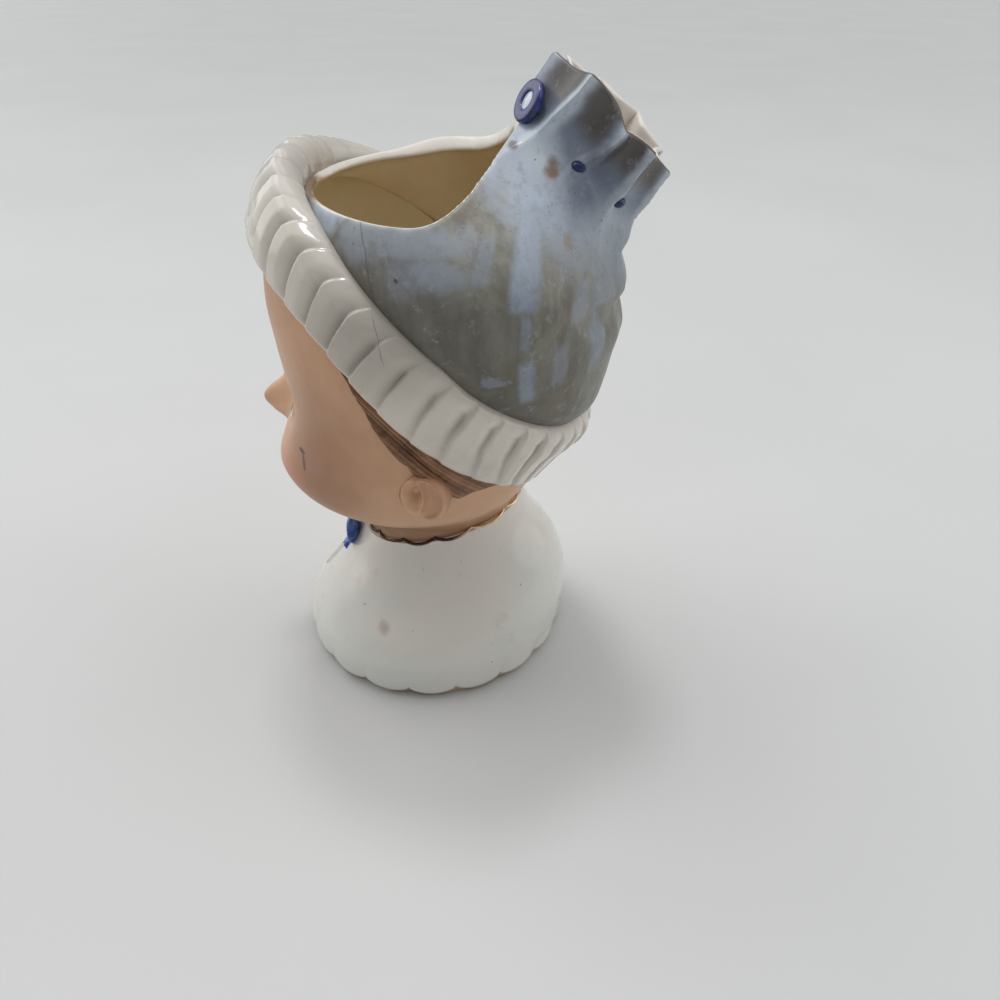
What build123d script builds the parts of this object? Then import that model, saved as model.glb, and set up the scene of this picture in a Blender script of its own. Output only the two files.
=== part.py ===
from build123d import *
import math
import os

# Child's-head planter, slip-cast and glazed. The face looks along -Y and +Z is up.
# The origin is the centre of the hem where it rests on the table. All lengths in mm.

# Walls and joints
WALL = 3.0                    # thickness of the cast body
BASE_THICKNESS = 4.5          # closed floor of the shoulder cape
OVERRUN = 60.0                # how far every cutting tool runs past the work

# Shoulder cape: level oval sections from the hem up to the collar
CAPE_HEIGHT = 48.0
CAPE_RADIUS = 37.8
# height share, half width share, half depth share, backward shift share of the radius
CAPE_SHARES = [
    (0.00, 0.985, 0.985, 0.000),
    (0.09, 1.000, 1.000, -0.005),
    (0.20, 0.985, 0.990, 0.022),
    (0.34, 0.905, 0.935, 0.095),
    (0.49, 0.780, 0.850, 0.155),
    (0.64, 0.640, 0.740, 0.185),
    (0.80, 0.515, 0.610, 0.165),
    (1.00, 0.440, 0.530, 0.120),
]

# Gilt hem band, let into the foot of the cape
HEM_BAND_HEIGHT = 2.4
HEM_BAND_WIDTH = 3.6
HEM_SCALLOP_DEPTH = 0.8
HEM_SCALLOPS = 18

# Collar: a plane that climbs towards the nape, with a gilt scalloped edge on it
COLLAR_TILT = 15.0
COLLAR_HEIGHT = 40.2
COLLAR_CENTRE_Y = 3.8
COLLAR_HALF_WIDTH = 18.7
COLLAR_HALF_DEPTH = 22.0
COLLAR_BEAD_WIDTH = 1.5
COLLAR_BEAD_HEIGHT = 1.2
COLLAR_SCALLOPS = 18
COLLAR_SCALLOP_DEPTH = 0.5

# Front placket below the bow
PLACKET_WIDTH = 8.0
PLACKET_TIP_WIDTH = 5.0
PLACKET_PROUD = 1.1
PLACKET_TOP = 35.0
PLACKET_BOTTOM = 13.0

# Bow under the chin
BOW_HEIGHT = 31.5
BOW_LOOP_LENGTH = 9.5
BOW_LOOP_HEIGHT = 8.4
BOW_THICKNESS = 3.6
BOW_KNOT_RADIUS = 2.3
BOW_TAIL_LENGTH = 10.0
BOW_TAIL_WIDTH = 3.8
BOW_TAIL_PROUD = 1.3
BOW_TAIL_SPREAD = 24.0

# Head: level oval sections from the neck up under the hat
HEAD_WIDTH = 76.0
HEAD_DEPTH = 75.0
HEAD_FOOT = 33.0
HEAD_HEIGHT = 95.0
# height share, half width share of the width, front share and back share of the depth
HEAD_SHARES = [
    (0.000, 0.215, 0.218, 0.300),
    (0.055, 0.218, 0.225, 0.304),
    (0.084, 0.224, 0.262, 0.307),
    (0.110, 0.240, 0.330, 0.311),
    (0.150, 0.295, 0.385, 0.322),
    (0.205, 0.385, 0.450, 0.368),
    (0.270, 0.455, 0.492, 0.415),
    (0.390, 0.494, 0.458, 0.475),
    (0.500, 0.500, 0.425, 0.500),
    (0.640, 0.498, 0.440, 0.500),
    (0.760, 0.480, 0.450, 0.480),
    (0.880, 0.430, 0.420, 0.430),
    (1.000, 0.330, 0.320, 0.330),
]

# Face
NOSE_HEIGHT = 70.0
NOSE_TIP_RADIUS = 3.4
NOSE_REACH = 4.4
NOSE_BRIDGE_RADIUS = 1.6
NOSE_BRIDGE_HEIGHT = 82.0
NOSE_WING_RADIUS = 2.3
NOSE_WING_SPREAD = 3.2
NOSE_WING_PROUD = 1.2
CHIN_WIDE = 15.0
CHIN_TALL = 9.0
CHIN_THICK = 5.0
CHIN_HEIGHT = 52.0
CHIN_PROUD = 0.6
EYE_WIDTH = 10.0
EYE_TALL = 6.4
EYE_THICK = 4.4
EYE_HEIGHT = 76.0
EYE_SPREAD = 13.0
EYE_PROUD = 1.1
LIP_LENGTH = 9.0
LOWER_LIP_LENGTH = 6.4
LIP_THICK = 2.6
LIP_HEIGHT = 59.5
LIP_PROUD = 1.3

# Ears
EAR_HEIGHT = 69.0
EAR_Y = 8.7
EAR_TALL = 12.4
EAR_WIDE = 11.2
EAR_PROUD = 3.6
EAR_LEAN = 14.0
EAR_RIM = 1.7
EAR_BOWL_DEPTH = 1.8

# Hair below the hat
HAIR_THICKNESS = 1.4
HAIR_LENGTH = 42.0
HAIR_DROP = 33.0
HAIR_FRONT_Y = -11.5
HAIR_FOOT_Z = 65.5
# length share and drop share along the edge of the hair, temple first, with its lock tips
HAIR_SHARES = [
    (0.00, 1.00),
    (0.10, 0.84),
    (0.13, 0.76),
    (0.22, 0.62),
    (0.25, 0.52),
    (0.34, 0.38),
    (0.38, 0.27),
    (0.50, 0.16),
    (0.56, 0.02),
    (0.66, 0.05),
    (0.76, 0.00),
    (0.88, 0.03),
    (1.00, -0.02),
]
FORELOCK_HEIGHT = 108.5
FORELOCK_RADIUS = 6.0
FORELOCK_THICK = 5.4
FORELOCK_HOLE_RADIUS = 2.0

# Hat: everything is measured from the ring where crown and cuff meet
HAT_TILT = 41.5
HAT_Y = 12.2
HAT_Z = 100.9
HAT_SEAT = 5.0                # the head ends this far below the ring, inside the cuff

CUFF_DEPTH = 14.0
CUFF_WIDTH = 87.0
CUFF_LENGTH = 93.0
CUFF_SHIFT = 4.0              # the cuff stands further out over the forehead
CUFF_LEAN = 1.3                # the top edge climbs this much from the middle to the forehead
CUFF_RIBS = 38
RIB_DEPTH = 1.5
# depth share from the ring down, half width, half length, shift, lean and rib shares
CUFF_SHARES = [
    (1.45, 0.470, 0.495, 0.60, 0, 1.00),
    (0.95, 0.484, 0.497, 0.80, 0, 1.00),
    (0.60, 0.497, 0.503, 1.00, 0, 1.00),
    (0.32, 0.500, 0.505, 1.00, 0, 0.80),
    (0.14, 0.493, 0.500, 1.00, 0, 0.45),
    (0.00, 0.478, 0.485, 1.00, 0, 0.15),
    (-0.14, 0.463, 0.4355, 0.60, 1, 0.00),
]
# turn share and height share of the points along one rib
RIB_SHARES = [(0.00, 0.00), (0.22, 0.72), (0.50, 1.00), (0.78, 0.72)]
# half length share and depth share of the lower edge, from the forehead to the nape
BRIM_SHARES = [(-1.05, 1.18), (-0.71, 0.914), (-0.43, 0.843), (0.00, 1.07), (1.00, 1.43)]

CROWN_HEIGHT = 39.0
CROWN_RADIUS = 42.0
# height share, half width share, front share, back share
CROWN_SHARES = [
    (0.00, 0.945, 1.015, 0.905),
    (0.12, 0.985, 1.030, 0.910),
    (0.26, 1.000, 1.020, 0.850),
    (0.40, 0.975, 0.980, 0.775),
    (0.54, 0.900, 0.905, 0.705),
    (0.68, 0.750, 0.770, 0.600),
    (0.82, 0.520, 0.565, 0.470),
    (1.00, 0.365, 0.445, 0.350),
]

# Planting mouth cut through the crown
MOUTH_HEIGHT = 127.0
MOUTH_BEND = 14.0
MOUTH_BACK_Y = 14.5
MOUTH_LEAN = 39.0

# Gathered tail of the hat
TAIL_LENGTH = 10.5
TAIL_END_RADIUS = 16.4
TAIL_LEAN = 3.0
TAIL_FLUTES = 9
TAIL_FLUTE_DEPTH = 3.0
TAIL_TURN = 6.0
TAIL_WALL = 2.4                # rim left round the open end
TAIL_HOLLOW_DEPTH = 5.0
TAIL_STEPS = 8                # points round each flute
# height share, share of the way from the waist to the end, flute share
TAIL_SHARES = [(0.00, 0.00, 0.25), (0.35, 0.22, 0.65), (0.75, 0.75, 1.00), (1.00, 1.00, 1.00)]

# Cord tie round the waist of the tail
TIE_ANGLE = 32.0
TIE_HEIGHT = 2.0
TIE_RING_RADIUS = 4.6
TIE_RING_PROUD = 2.0
TIE_BEAD_RADIUS = 2.3
TIE_BEAD_PROUD = 1.5
STITCHES = 6
STITCH_START = 87.0
STITCH_STEP = 45.0            # turn from one length of cord to the next
STITCH_LENGTH = 4.6
STITCH_RADIUS = 1.1
STITCH_SINK = 0.8

# Rounded lumps: rise share and size share of their rings
LUMP_SHARES = [(-1.00, 0.30), (-0.72, 0.70), (0.00, 1.00), (0.72, 0.70), (1.00, 0.30)]
LUMP_SIDES = 12


# Planes that the head, collar and hat are set out on
tilt = math.radians(HAT_TILT)
hat_plane = Plane(origin=(0, HAT_Y, HAT_Z), x_dir=(1, 0, 0), z_dir=(0, math.sin(tilt), math.cos(tilt)))
climb = math.radians(COLLAR_TILT)
collar_plane = Plane(
    origin=(0, COLLAR_CENTRE_Y, COLLAR_HEIGHT),
    x_dir=(1, 0, 0),
    z_dir=(0, -math.sin(climb), math.cos(climb)),
)
seat_plane = hat_plane.offset(-HAT_SEAT)
waist_width, waist_front, waist_back = [share * CROWN_RADIUS for share in CROWN_SHARES[-1][1:]]


# Helpers
def oval_wire(plane, half_width, half_length, shift, height):
    """Closed oval on a plane, moved along the plane's Y and raised along its normal."""
    centre = plane.from_local_coords(Vector(0, shift, height))
    if half_width >= half_length:
        frame = Plane(origin=centre, x_dir=plane.x_dir, z_dir=plane.z_dir)
        return Wire([Edge.make_ellipse(half_width, half_length, frame)])
    frame = Plane(origin=centre, x_dir=plane.y_dir, z_dir=plane.z_dir)
    return Wire([Edge.make_ellipse(half_length, half_width, frame, start_angle=-90, end_angle=270)])


def oval_loft(plane, sections):
    """Straight-sided loft through ovals: half width, front, back and height of each."""
    wires = []
    for half_width, front, back, height in sections:
        wires.append(oval_wire(plane, half_width, (front + back) / 2, (back - front) / 2, height))
    return Solid.make_loft(wires, ruled=True)


def side_of(plane, above=True):
    """A block that fills one side of a plane."""
    side = Align.MIN if above else Align.MAX
    span = OVERRUN * 4
    return plane * Box(span, span, span, align=(Align.CENTER, Align.CENTER, side))


def lump(plane, half_x, half_y, half_z):
    """Rounded lump on a plane, in flat facets, with its own half sizes."""
    rings = []
    for rise, size in LUMP_SHARES:
        ring = []
        for index in range(LUMP_SIDES):
            angle = 2 * math.pi * index / LUMP_SIDES
            place = Vector(half_x * size * math.cos(angle), half_y * size * math.sin(angle), half_z * rise)
            ring.append(plane.from_local_coords(place))
        rings.append(ring)
    outlines = [rings[0][::-1], rings[-1]]
    for low, high in zip(rings, rings[1:]):
        for index in range(LUMP_SIDES):
            outlines.append([low[index - 1], low[index], high[index], high[index - 1]])
    return Solid(Shell([Face(Wire.make_polygon(outline, close=True)) for outline in outlines]))


def skin_plane(x, height, sink):
    """Plane that looks straight out of the face at a place on it, sunk under the skin."""
    wide, front, back = head_section(height)
    half = (front + back) / 2
    y = face_point(x, height)
    out = Vector(x / wide**2, (y - (back - front) / 2) / half**2, 0)
    return Plane(origin=(x, y, height), x_dir=(-out.Y, out.X, 0), z_dir=out).offset(-sink)


def biggest(shape):
    """The one solid of a piece, without crumbs from trimming."""
    return max(shape.solids(), key=lambda solid: solid.volume)


def mirrored(shape):
    """The same piece on the other side of the face."""
    return shape.mirror(Plane.YZ)


# Forms that several pieces share
def cape_form(inset):
    """Cape as a solid, smaller all round by the inset."""
    sections = []
    for height, wide, deep, shift in CAPE_SHARES:
        half_depth = deep * CAPE_RADIUS - inset
        move = shift * CAPE_RADIUS
        half_width = wide * CAPE_RADIUS - inset
        sections.append((half_width, half_depth - move, half_depth + move, height * CAPE_HEIGHT))
    return oval_loft(Plane.XY, sections)


def head_section(height):
    """Half width, front and back of the head at a height, read between its sections."""
    share = (height - HEAD_FOOT) / HEAD_HEIGHT
    for low, high in zip(HEAD_SHARES, HEAD_SHARES[1:]):
        if low[0] <= share <= high[0]:
            mix = (share - low[0]) / (high[0] - low[0])
            wide, front, back = [a + (b - a) * mix for a, b in zip(low[1:], high[1:])]
            return wide * HEAD_WIDTH, front * HEAD_DEPTH, back * HEAD_DEPTH


def head_form(inset):
    """Head and neck as a solid, smaller all round by the inset."""
    sections = []
    for height, wide, front, back in HEAD_SHARES:
        sections.append(
            (
                wide * HEAD_WIDTH - inset,
                front * HEAD_DEPTH - inset,
                back * HEAD_DEPTH - inset,
                HEAD_FOOT + height * HEAD_HEIGHT,
            )
        )
    return oval_loft(Plane.XY, sections)


def head_hollow():
    """Hollow of the head, lofted through every second section."""
    sections = []
    for height, wide, front, back in HEAD_SHARES[::2]:
        half_width = wide * HEAD_WIDTH - WALL
        reach = (front * HEAD_DEPTH - WALL, back * HEAD_DEPTH - WALL)
        sections.append((half_width, *reach, HEAD_FOOT + height * HEAD_HEIGHT))
    return oval_loft(Plane.XY, sections)


def face_point(x, height):
    """Depth of the face at a place on it."""
    wide, front, back = head_section(height)
    half = (front + back) / 2
    return (back - front) / 2 - half * math.sqrt(1 - (x / wide) ** 2)


def cheek_point(y, height):
    """Half width of the head at a place on its side."""
    wide, front, back = head_section(height)
    half = (front + back) / 2
    return wide * math.sqrt(1 - ((y - (back - front) / 2) / half) ** 2)


def crown_form(inset):
    """Crown as a solid on its ring, smaller all round by the inset."""
    sections = []
    for height, wide, front, back in CROWN_SHARES:
        sections.append(
            (
                wide * CROWN_RADIUS - inset,
                front * CROWN_RADIUS - inset,
                back * CROWN_RADIUS - inset,
                height * CROWN_HEIGHT,
            )
        )
    return oval_loft(hat_plane, sections)


def crown_hollow():
    """Hollow of the crown, from the seat of the head to below the tie."""
    sections = []
    for height, wide, front, back in CROWN_SHARES[:-1]:
        reach = (front * CROWN_RADIUS - WALL, back * CROWN_RADIUS - WALL)
        sections.append((wide * CROWN_RADIUS - WALL, *reach, height * CROWN_HEIGHT))
    throat = (*sections[0][:3], -HAT_SEAT)
    return oval_loft(hat_plane, [throat] + sections)


def cuff_wheel():
    """The ribbed roll as a solid wheel, before the head and the hollow are taken out."""
    wires = []
    for depth, wide, long, shift, lean, rib in CUFF_SHARES:
        points = []
        for index in range(CUFF_RIBS):
            for turn, share in RIB_SHARES:
                angle = 2 * math.pi * (index + turn + RIB_SHARES[2][0]) / CUFF_RIBS
                inset = RIB_DEPTH * rib * (1 - share)
                x = (wide * CUFF_WIDTH - inset) * math.sin(angle)
                y = -(long * CUFF_LENGTH - inset) * math.cos(angle) - shift * CUFF_SHIFT
                z = -depth * CUFF_DEPTH - lean * CUFF_LEAN * y / (CUFF_LENGTH / 2)
                points.append(hat_plane.from_local_coords(Vector(x, y, z)))
        wires.append(Wire.make_polygon(points, close=True))
    return Solid.make_loft(wires, ruled=True)


def brim_cutter():
    """Everything under the lower edge of the cuff, which dips over the forehead and the nape."""
    far = OVERRUN * 2
    edge = [(share * CUFF_LENGTH / 2, -depth * CUFF_DEPTH) for share, depth in BRIM_SHARES]
    outline = [(-far, edge[0][1]), *edge, (far, edge[-1][1]), (far, -far), (-far, -far)]
    points = [hat_plane.from_local_coords(Vector(-far, y, z)) for y, z in outline]
    return Solid.extrude(Face(Wire.make_polygon(points, close=True)), Vector(2 * far, 0, 0))


def mouth_cutter():
    """Level scoop across the crown that turns up towards the tie."""
    far = OVERRUN * 2
    lean = math.radians(MOUTH_LEAN)
    outline = FilletPolyline(
        (-far, MOUTH_HEIGHT),
        (MOUTH_BACK_Y, MOUTH_HEIGHT),
        (MOUTH_BACK_Y + far * math.tan(lean), MOUTH_HEIGHT + far),
        radius=MOUTH_BEND,
    )
    lid = Polyline(outline @ 1, (-far, MOUTH_HEIGHT + far), outline @ 0)
    face = Plane(origin=(-far, 0, 0), x_dir=(0, 1, 0), z_dir=(1, 0, 0)) * make_face(outline + lid)
    return extrude(face, amount=2 * far)


# Pieces
def make_hem_band():
    """Ring round the foot with a softly scalloped gilt edge."""
    outer = CAPE_SHARES[0][1] * CAPE_RADIUS
    arcs = []
    for index in range(HEM_SCALLOPS):
        points = []
        for turn, dip in ((0, HEM_SCALLOP_DEPTH), (1 / 2, 0), (1, HEM_SCALLOP_DEPTH)):
            angle = 2 * math.pi * (index + turn) / HEM_SCALLOPS
            points.append(((outer - dip) * math.sin(angle), -(outer - dip) * math.cos(angle)))
        arcs.append(ThreePointArc(*points))
    ring = make_face(arcs) - Circle(outer - HEM_BAND_WIDTH)
    return extrude(ring, amount=HEM_BAND_HEIGHT)


def make_cape():
    """White shoulder cape with a flat closed foot, open at the neck."""
    outer = CAPE_SHARES[0][1] * CAPE_RADIUS
    foot = extrude(Circle(outer - HEM_BAND_WIDTH), amount=BASE_THICKNESS)
    body = cape_form(0) & side_of(Plane.XY.offset(HEM_BAND_HEIGHT)) & side_of(collar_plane, above=False)
    return biggest(body + foot - (cape_form(WALL) & side_of(Plane.XY.offset(BASE_THICKNESS))))


def make_collar_bead():
    """Gilt scalloped edge that stands on the rim of the cape round the neck."""
    arcs = []
    for index in range(COLLAR_SCALLOPS):
        points = []
        for turn, dip in ((0, COLLAR_SCALLOP_DEPTH), (1 / 2, 0), (1, COLLAR_SCALLOP_DEPTH)):
            angle = 2 * math.pi * (index + turn) / COLLAR_SCALLOPS
            x = (COLLAR_HALF_WIDTH - dip) * math.sin(angle)
            y = -(COLLAR_HALF_DEPTH - dip) * math.cos(angle)
            points.append((x, y))
        arcs.append(ThreePointArc(*points))
    inner_width = COLLAR_HALF_WIDTH - COLLAR_BEAD_WIDTH
    inner_depth = COLLAR_HALF_DEPTH - COLLAR_BEAD_WIDTH
    ring = make_face(arcs) - Rot(0, 0, 90) * Ellipse(inner_depth, inner_width)
    return biggest(extrude(collar_plane * ring, amount=COLLAR_BEAD_HEIGHT) - head_form(0))


def make_placket():
    """Tapered strip down the front of the cape, where its two edges overlap."""
    outline = Polyline(
        (-PLACKET_WIDTH / 2, PLACKET_TOP),
        (PLACKET_WIDTH / 2, PLACKET_TOP),
        (PLACKET_TIP_WIDTH / 2, PLACKET_BOTTOM),
        (-PLACKET_TIP_WIDTH / 2, PLACKET_BOTTOM),
        close=True,
    )
    prism = extrude(Plane.XZ * make_face(outline), amount=OVERRUN)
    strip = (cape_form(-PLACKET_PROUD) & prism) - cape_form(0)
    return biggest(strip & side_of(collar_plane, above=False))


def make_head():
    """Flesh-coloured head and neck, hollow, with nose and chin."""
    form = head_form(0)
    tip = skin_plane(0, NOSE_HEIGHT, -NOSE_REACH)
    top = skin_plane(0, NOSE_BRIDGE_HEIGHT, 0)
    run = tip.origin - top.origin
    along = Plane(origin=top.origin, z_dir=run)
    bridge = Solid.make_cone(NOSE_BRIDGE_RADIUS, NOSE_TIP_RADIUS, run.length, along)
    form = form + lump(tip, NOSE_TIP_RADIUS, NOSE_TIP_RADIUS, NOSE_TIP_RADIUS) + bridge
    chin = skin_plane(0, CHIN_HEIGHT, CHIN_THICK / 2 - CHIN_PROUD)
    form = form + lump(chin, CHIN_WIDE / 2, CHIN_TALL / 2, CHIN_THICK / 2)
    for side in (-1, 1):
        wing = skin_plane(side * NOSE_WING_SPREAD, NOSE_HEIGHT - NOSE_WING_RADIUS / 2, -NOSE_WING_PROUD)
        form = form + lump(wing, NOSE_WING_RADIUS, NOSE_WING_RADIUS, NOSE_WING_RADIUS)
    head = form & side_of(collar_plane) & side_of(seat_plane, above=False)
    return biggest(head - head_hollow())


def make_eye(side):
    """Almond-shaped eye set on the face."""
    plane = skin_plane(side * EYE_SPREAD, EYE_HEIGHT, EYE_THICK / 2 - EYE_PROUD)
    return biggest(lump(plane, EYE_WIDTH / 2, EYE_TALL / 2, EYE_THICK / 2) - head_form(0))


def make_lips():
    """Upper and lower lip, closed."""
    half = LIP_THICK / 2
    upper = lump(skin_plane(0, LIP_HEIGHT + half / 2, 0), LIP_LENGTH / 2, half, LIP_PROUD)
    lower = lump(skin_plane(0, LIP_HEIGHT - half, 0), LOWER_LIP_LENGTH / 2, half, LIP_PROUD)
    return biggest(upper + lower - head_form(0))


def make_ear(side):
    """Ear with a raised rim round its hollow, leaning back."""
    x = cheek_point(EAR_Y, EAR_HEIGHT)
    lean = math.radians(EAR_LEAN)
    out = Vector(side * math.cos(lean), -math.sin(lean), 0)
    plane = Plane(origin=(side * x, EAR_Y, EAR_HEIGHT), x_dir=(0, math.sin(lean), math.cos(lean)), z_dir=out)
    shell = lump(plane, EAR_TALL / 2, EAR_WIDE / 2, EAR_PROUD)
    bowl = lump(plane.offset(EAR_PROUD), EAR_TALL / 2 - EAR_RIM, EAR_WIDE / 2 - EAR_RIM, EAR_BOWL_DEPTH)
    return biggest(shell - bowl - head_form(0))


def make_hair(side, cuff, ear):
    """Brushed locks that show between the cuff, the ear and the nape."""
    points = [(HAIR_FRONT_Y + a * HAIR_LENGTH, HAIR_FOOT_Z + b * HAIR_DROP) for a, b in HAIR_SHARES]
    points.append((HAIR_FRONT_Y + OVERRUN, HAIR_FOOT_Z + OVERRUN))
    points.append((HAIR_FRONT_Y, HAIR_FOOT_Z + OVERRUN))
    sheet = make_face(Polyline(*points, close=True))
    prism = extrude(Plane(origin=(0, 0, 0), x_dir=(0, 1, 0), z_dir=(1, 0, 0)) * sheet, amount=OVERRUN)
    if side < 0:
        prism = mirrored(prism)
    locks = (head_form(-HAIR_THICKNESS) & prism) - side_of(seat_plane)
    return biggest(locks - head_form(0) - cuff - ear)


def make_forelock(cuff):
    """Small curl on the forehead below the cuff."""
    plane = skin_plane(0, FORELOCK_HEIGHT, 0)
    curl = lump(plane, FORELOCK_RADIUS, FORELOCK_RADIUS, FORELOCK_THICK)
    curl = curl - plane * extrude(RegularPolygon(FORELOCK_HOLE_RADIUS, LUMP_SIDES), amount=FORELOCK_THICK)
    return biggest(curl - head_form(0) - cuff)


def make_cuff():
    """Thick ribbed cuff rolled up round the hat, seated on the head."""
    wheel = cuff_wheel() - brim_cutter()
    head_below = head_form(0) & side_of(seat_plane, above=False)
    return biggest(wheel - head_below - crown_hollow() - crown_form(0))


def make_crown():
    """Knitted crown, hollow, with the planting mouth scooped out of it."""
    shell = crown_form(0) - crown_hollow()
    return biggest(shell - mouth_cutter())


def waist_place(angle, grow, inset, height):
    """Point on the tail: turn from the front, share from waist to end, inset and height."""
    front = waist_front + (TAIL_END_RADIUS + TAIL_LEAN - waist_front) * grow
    back = waist_back + (TAIL_END_RADIUS - TAIL_LEAN - waist_back) * grow
    wide = waist_width + (TAIL_END_RADIUS - waist_width) * grow
    deep = (front + back) / 2
    x = (wide - inset) * math.sin(angle)
    y = (back - front) / 2 - (deep - inset) * math.cos(angle)
    return hat_plane.from_local_coords(Vector(x, y, CROWN_HEIGHT + height))


def tail_outline(height, grow, flute, inset):
    """Fluted outline of the tail at one height, smaller all round by the inset."""
    points_round = TAIL_FLUTES * TAIL_STEPS
    points = []
    for index in range(points_round):
        angle = 2 * math.pi * index / points_round + math.radians(TAIL_TURN)
        wave = (1 - math.cos(2 * math.pi * index / TAIL_STEPS)) / 2
        points.append(waist_place(angle, grow, inset + TAIL_FLUTE_DEPTH * flute * wave, height))
    return Wire.make_polygon(points, close=True)


def make_tail():
    """Fluted gather that flares past the tie, with a fluted hollow at its end."""
    outside = [tail_outline(height * TAIL_LENGTH, grow, flute, 0) for height, grow, flute in TAIL_SHARES]
    inside = [
        tail_outline(height * TAIL_LENGTH, grow, flute, TAIL_WALL) for height, grow, flute in TAIL_SHARES
    ]
    inside.append(tail_outline(TAIL_LENGTH + TAIL_WALL, 1, 1, TAIL_WALL))
    floor = hat_plane.offset(CROWN_HEIGHT + TAIL_LENGTH - TAIL_HOLLOW_DEPTH)
    hollow = Solid.make_loft(inside, ruled=True) & side_of(floor, above=True)
    return biggest(Solid.make_loft(outside, ruled=True) - hollow)


def waist_plane(angle, inset):
    """Plane that looks straight out of the waist at a turn from the front."""
    spot = waist_place(angle, 0, inset, TIE_HEIGHT)
    out = waist_place(angle, 0, inset - WALL, TIE_HEIGHT) - spot
    return Plane(origin=spot, x_dir=hat_plane.z_dir, z_dir=out)


def make_tie(tail, crown):
    """Ring bead with its pale middle, where the cord is tied."""
    plane = waist_plane(math.radians(TIE_ANGLE), 0)
    hole = plane * extrude(RegularPolygon(TIE_BEAD_RADIUS, LUMP_SIDES), amount=TIE_RING_PROUD)
    ring = lump(plane, TIE_RING_RADIUS, TIE_RING_RADIUS, TIE_RING_PROUD) - hole
    bead = hole & lump(plane, TIE_RING_RADIUS, TIE_RING_RADIUS, TIE_BEAD_PROUD)
    return biggest(ring - tail - crown), biggest(bead - tail - crown)


def make_stitches(tail, crown):
    """Short lengths of cord that show round the waist beyond the ring bead."""
    stitches = []
    for index in range(STITCHES):
        plane = waist_plane(math.radians(STITCH_START + STITCH_STEP * index), STITCH_SINK)
        stitch = lump(plane, STITCH_RADIUS, STITCH_LENGTH / 2, STITCH_RADIUS)
        stitches.append(biggest(stitch - tail - crown))
    return Compound(stitches)


def bow_plane():
    """Plane that looks out of the cape where the bow is tied."""
    drop = BOW_HEIGHT - PLACKET_BOTTOM
    run = cape_front(PLACKET_BOTTOM) - cape_front(BOW_HEIGHT)
    return Plane(origin=(0, cape_front(BOW_HEIGHT), BOW_HEIGHT), x_dir=(1, 0, 0), z_dir=(0, -drop, -run))


def make_bow(side, form, knot):
    """Loop and tail of one side of the bow, laid on the cape."""
    plane = bow_plane().offset(BOW_THICKNESS / 2)
    half = BOW_LOOP_LENGTH / 2
    centre = plane.from_local_coords(Vector(side * half, 0, 0))
    middle = Plane(origin=centre, x_dir=plane.x_dir, z_dir=plane.z_dir)
    loop = lump(middle, half, BOW_LOOP_HEIGHT / 2, BOW_THICKNESS / 2)
    strap = plane * Rot(0, 0, side * BOW_TAIL_SPREAD) * Pos(side * BOW_TAIL_WIDTH / 2, 0, 0) * Box(
        BOW_TAIL_WIDTH, BOW_TAIL_LENGTH, OVERRUN / 2, align=(Align.CENTER, Align.MAX, Align.CENTER)
    )
    layer = (cape_form(-PLACKET_PROUD - BOW_TAIL_PROUD) & strap) - cape_form(-PLACKET_PROUD)
    half_space = side_of(Plane.YZ, above=side > 0)
    loop = biggest((loop & half_space) - knot - form)
    return loop, biggest((layer & half_space) - loop - knot)


def cape_front(height):
    """Depth of the front of the cape at a height."""
    share = height / CAPE_HEIGHT
    for low, high in zip(CAPE_SHARES, CAPE_SHARES[1:]):
        if low[0] <= share <= high[0]:
            mix = (share - low[0]) / (high[0] - low[0])
            deep = low[2] + (high[2] - low[2]) * mix
            shift = low[3] + (high[3] - low[3]) * mix
            return (shift - deep) * CAPE_RADIUS


def export(pieces):
    """Write one file for each named piece."""
    os.makedirs("parts", exist_ok=True)
    for name, piece in pieces.items():
        export_step(piece, f"parts/{name}.step")
        print(name, round(piece.volume, 1))


cape = make_cape()
cuff = make_cuff()
crown = make_crown()
tail = make_tail()
placket = make_placket()
tie_ring, tie_bead = make_tie(tail, crown)
ears = {"left": make_ear(1), "right": make_ear(-1)}
bow_ground = cape_form(0) + placket
bow_middle = bow_plane().offset(BOW_THICKNESS / 2)
bow_knot = lump(bow_middle, BOW_KNOT_RADIUS, BOW_KNOT_RADIUS, BOW_THICKNESS / 2 + BOW_TAIL_PROUD) - bow_ground
pieces = {
    "hem_band": make_hem_band(),
    "shoulder_cape": cape,
    "collar_edge": make_collar_bead(),
    "cape_placket": placket,
    "bow_knot": biggest(bow_knot),
    "head": make_head(),
    "lips": make_lips(),
    "forelock": make_forelock(cuff),
    "hat_cuff": cuff,
    "hat_crown": crown,
    "hat_tail": tail,
    "tie_ring": tie_ring,
    "tie_bead": tie_bead,
    "tie_stitches": make_stitches(tail, crown),
}
for side, word in ((1, "left"), (-1, "right")):
    pieces["eye_" + word] = make_eye(side)
    pieces["ear_" + word] = ears[word]
    pieces["hair_" + word] = make_hair(side, cuff, ears[word])
    loop, bow_tail = make_bow(side, bow_ground, bow_knot)
    pieces["bow_loop_" + word] = loop
    pieces["bow_tail_" + word] = bow_tail
export(pieces)
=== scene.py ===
# %% [markdown]
# This lesson dresses a head planter: one hollow pottery casting, dipped and painted.
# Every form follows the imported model, in the same frame, so no piece has to be fitted by hand.
# Lengths are written in millimetres and turned into metres at one place, where a mesh is made.

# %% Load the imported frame
import math

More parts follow.
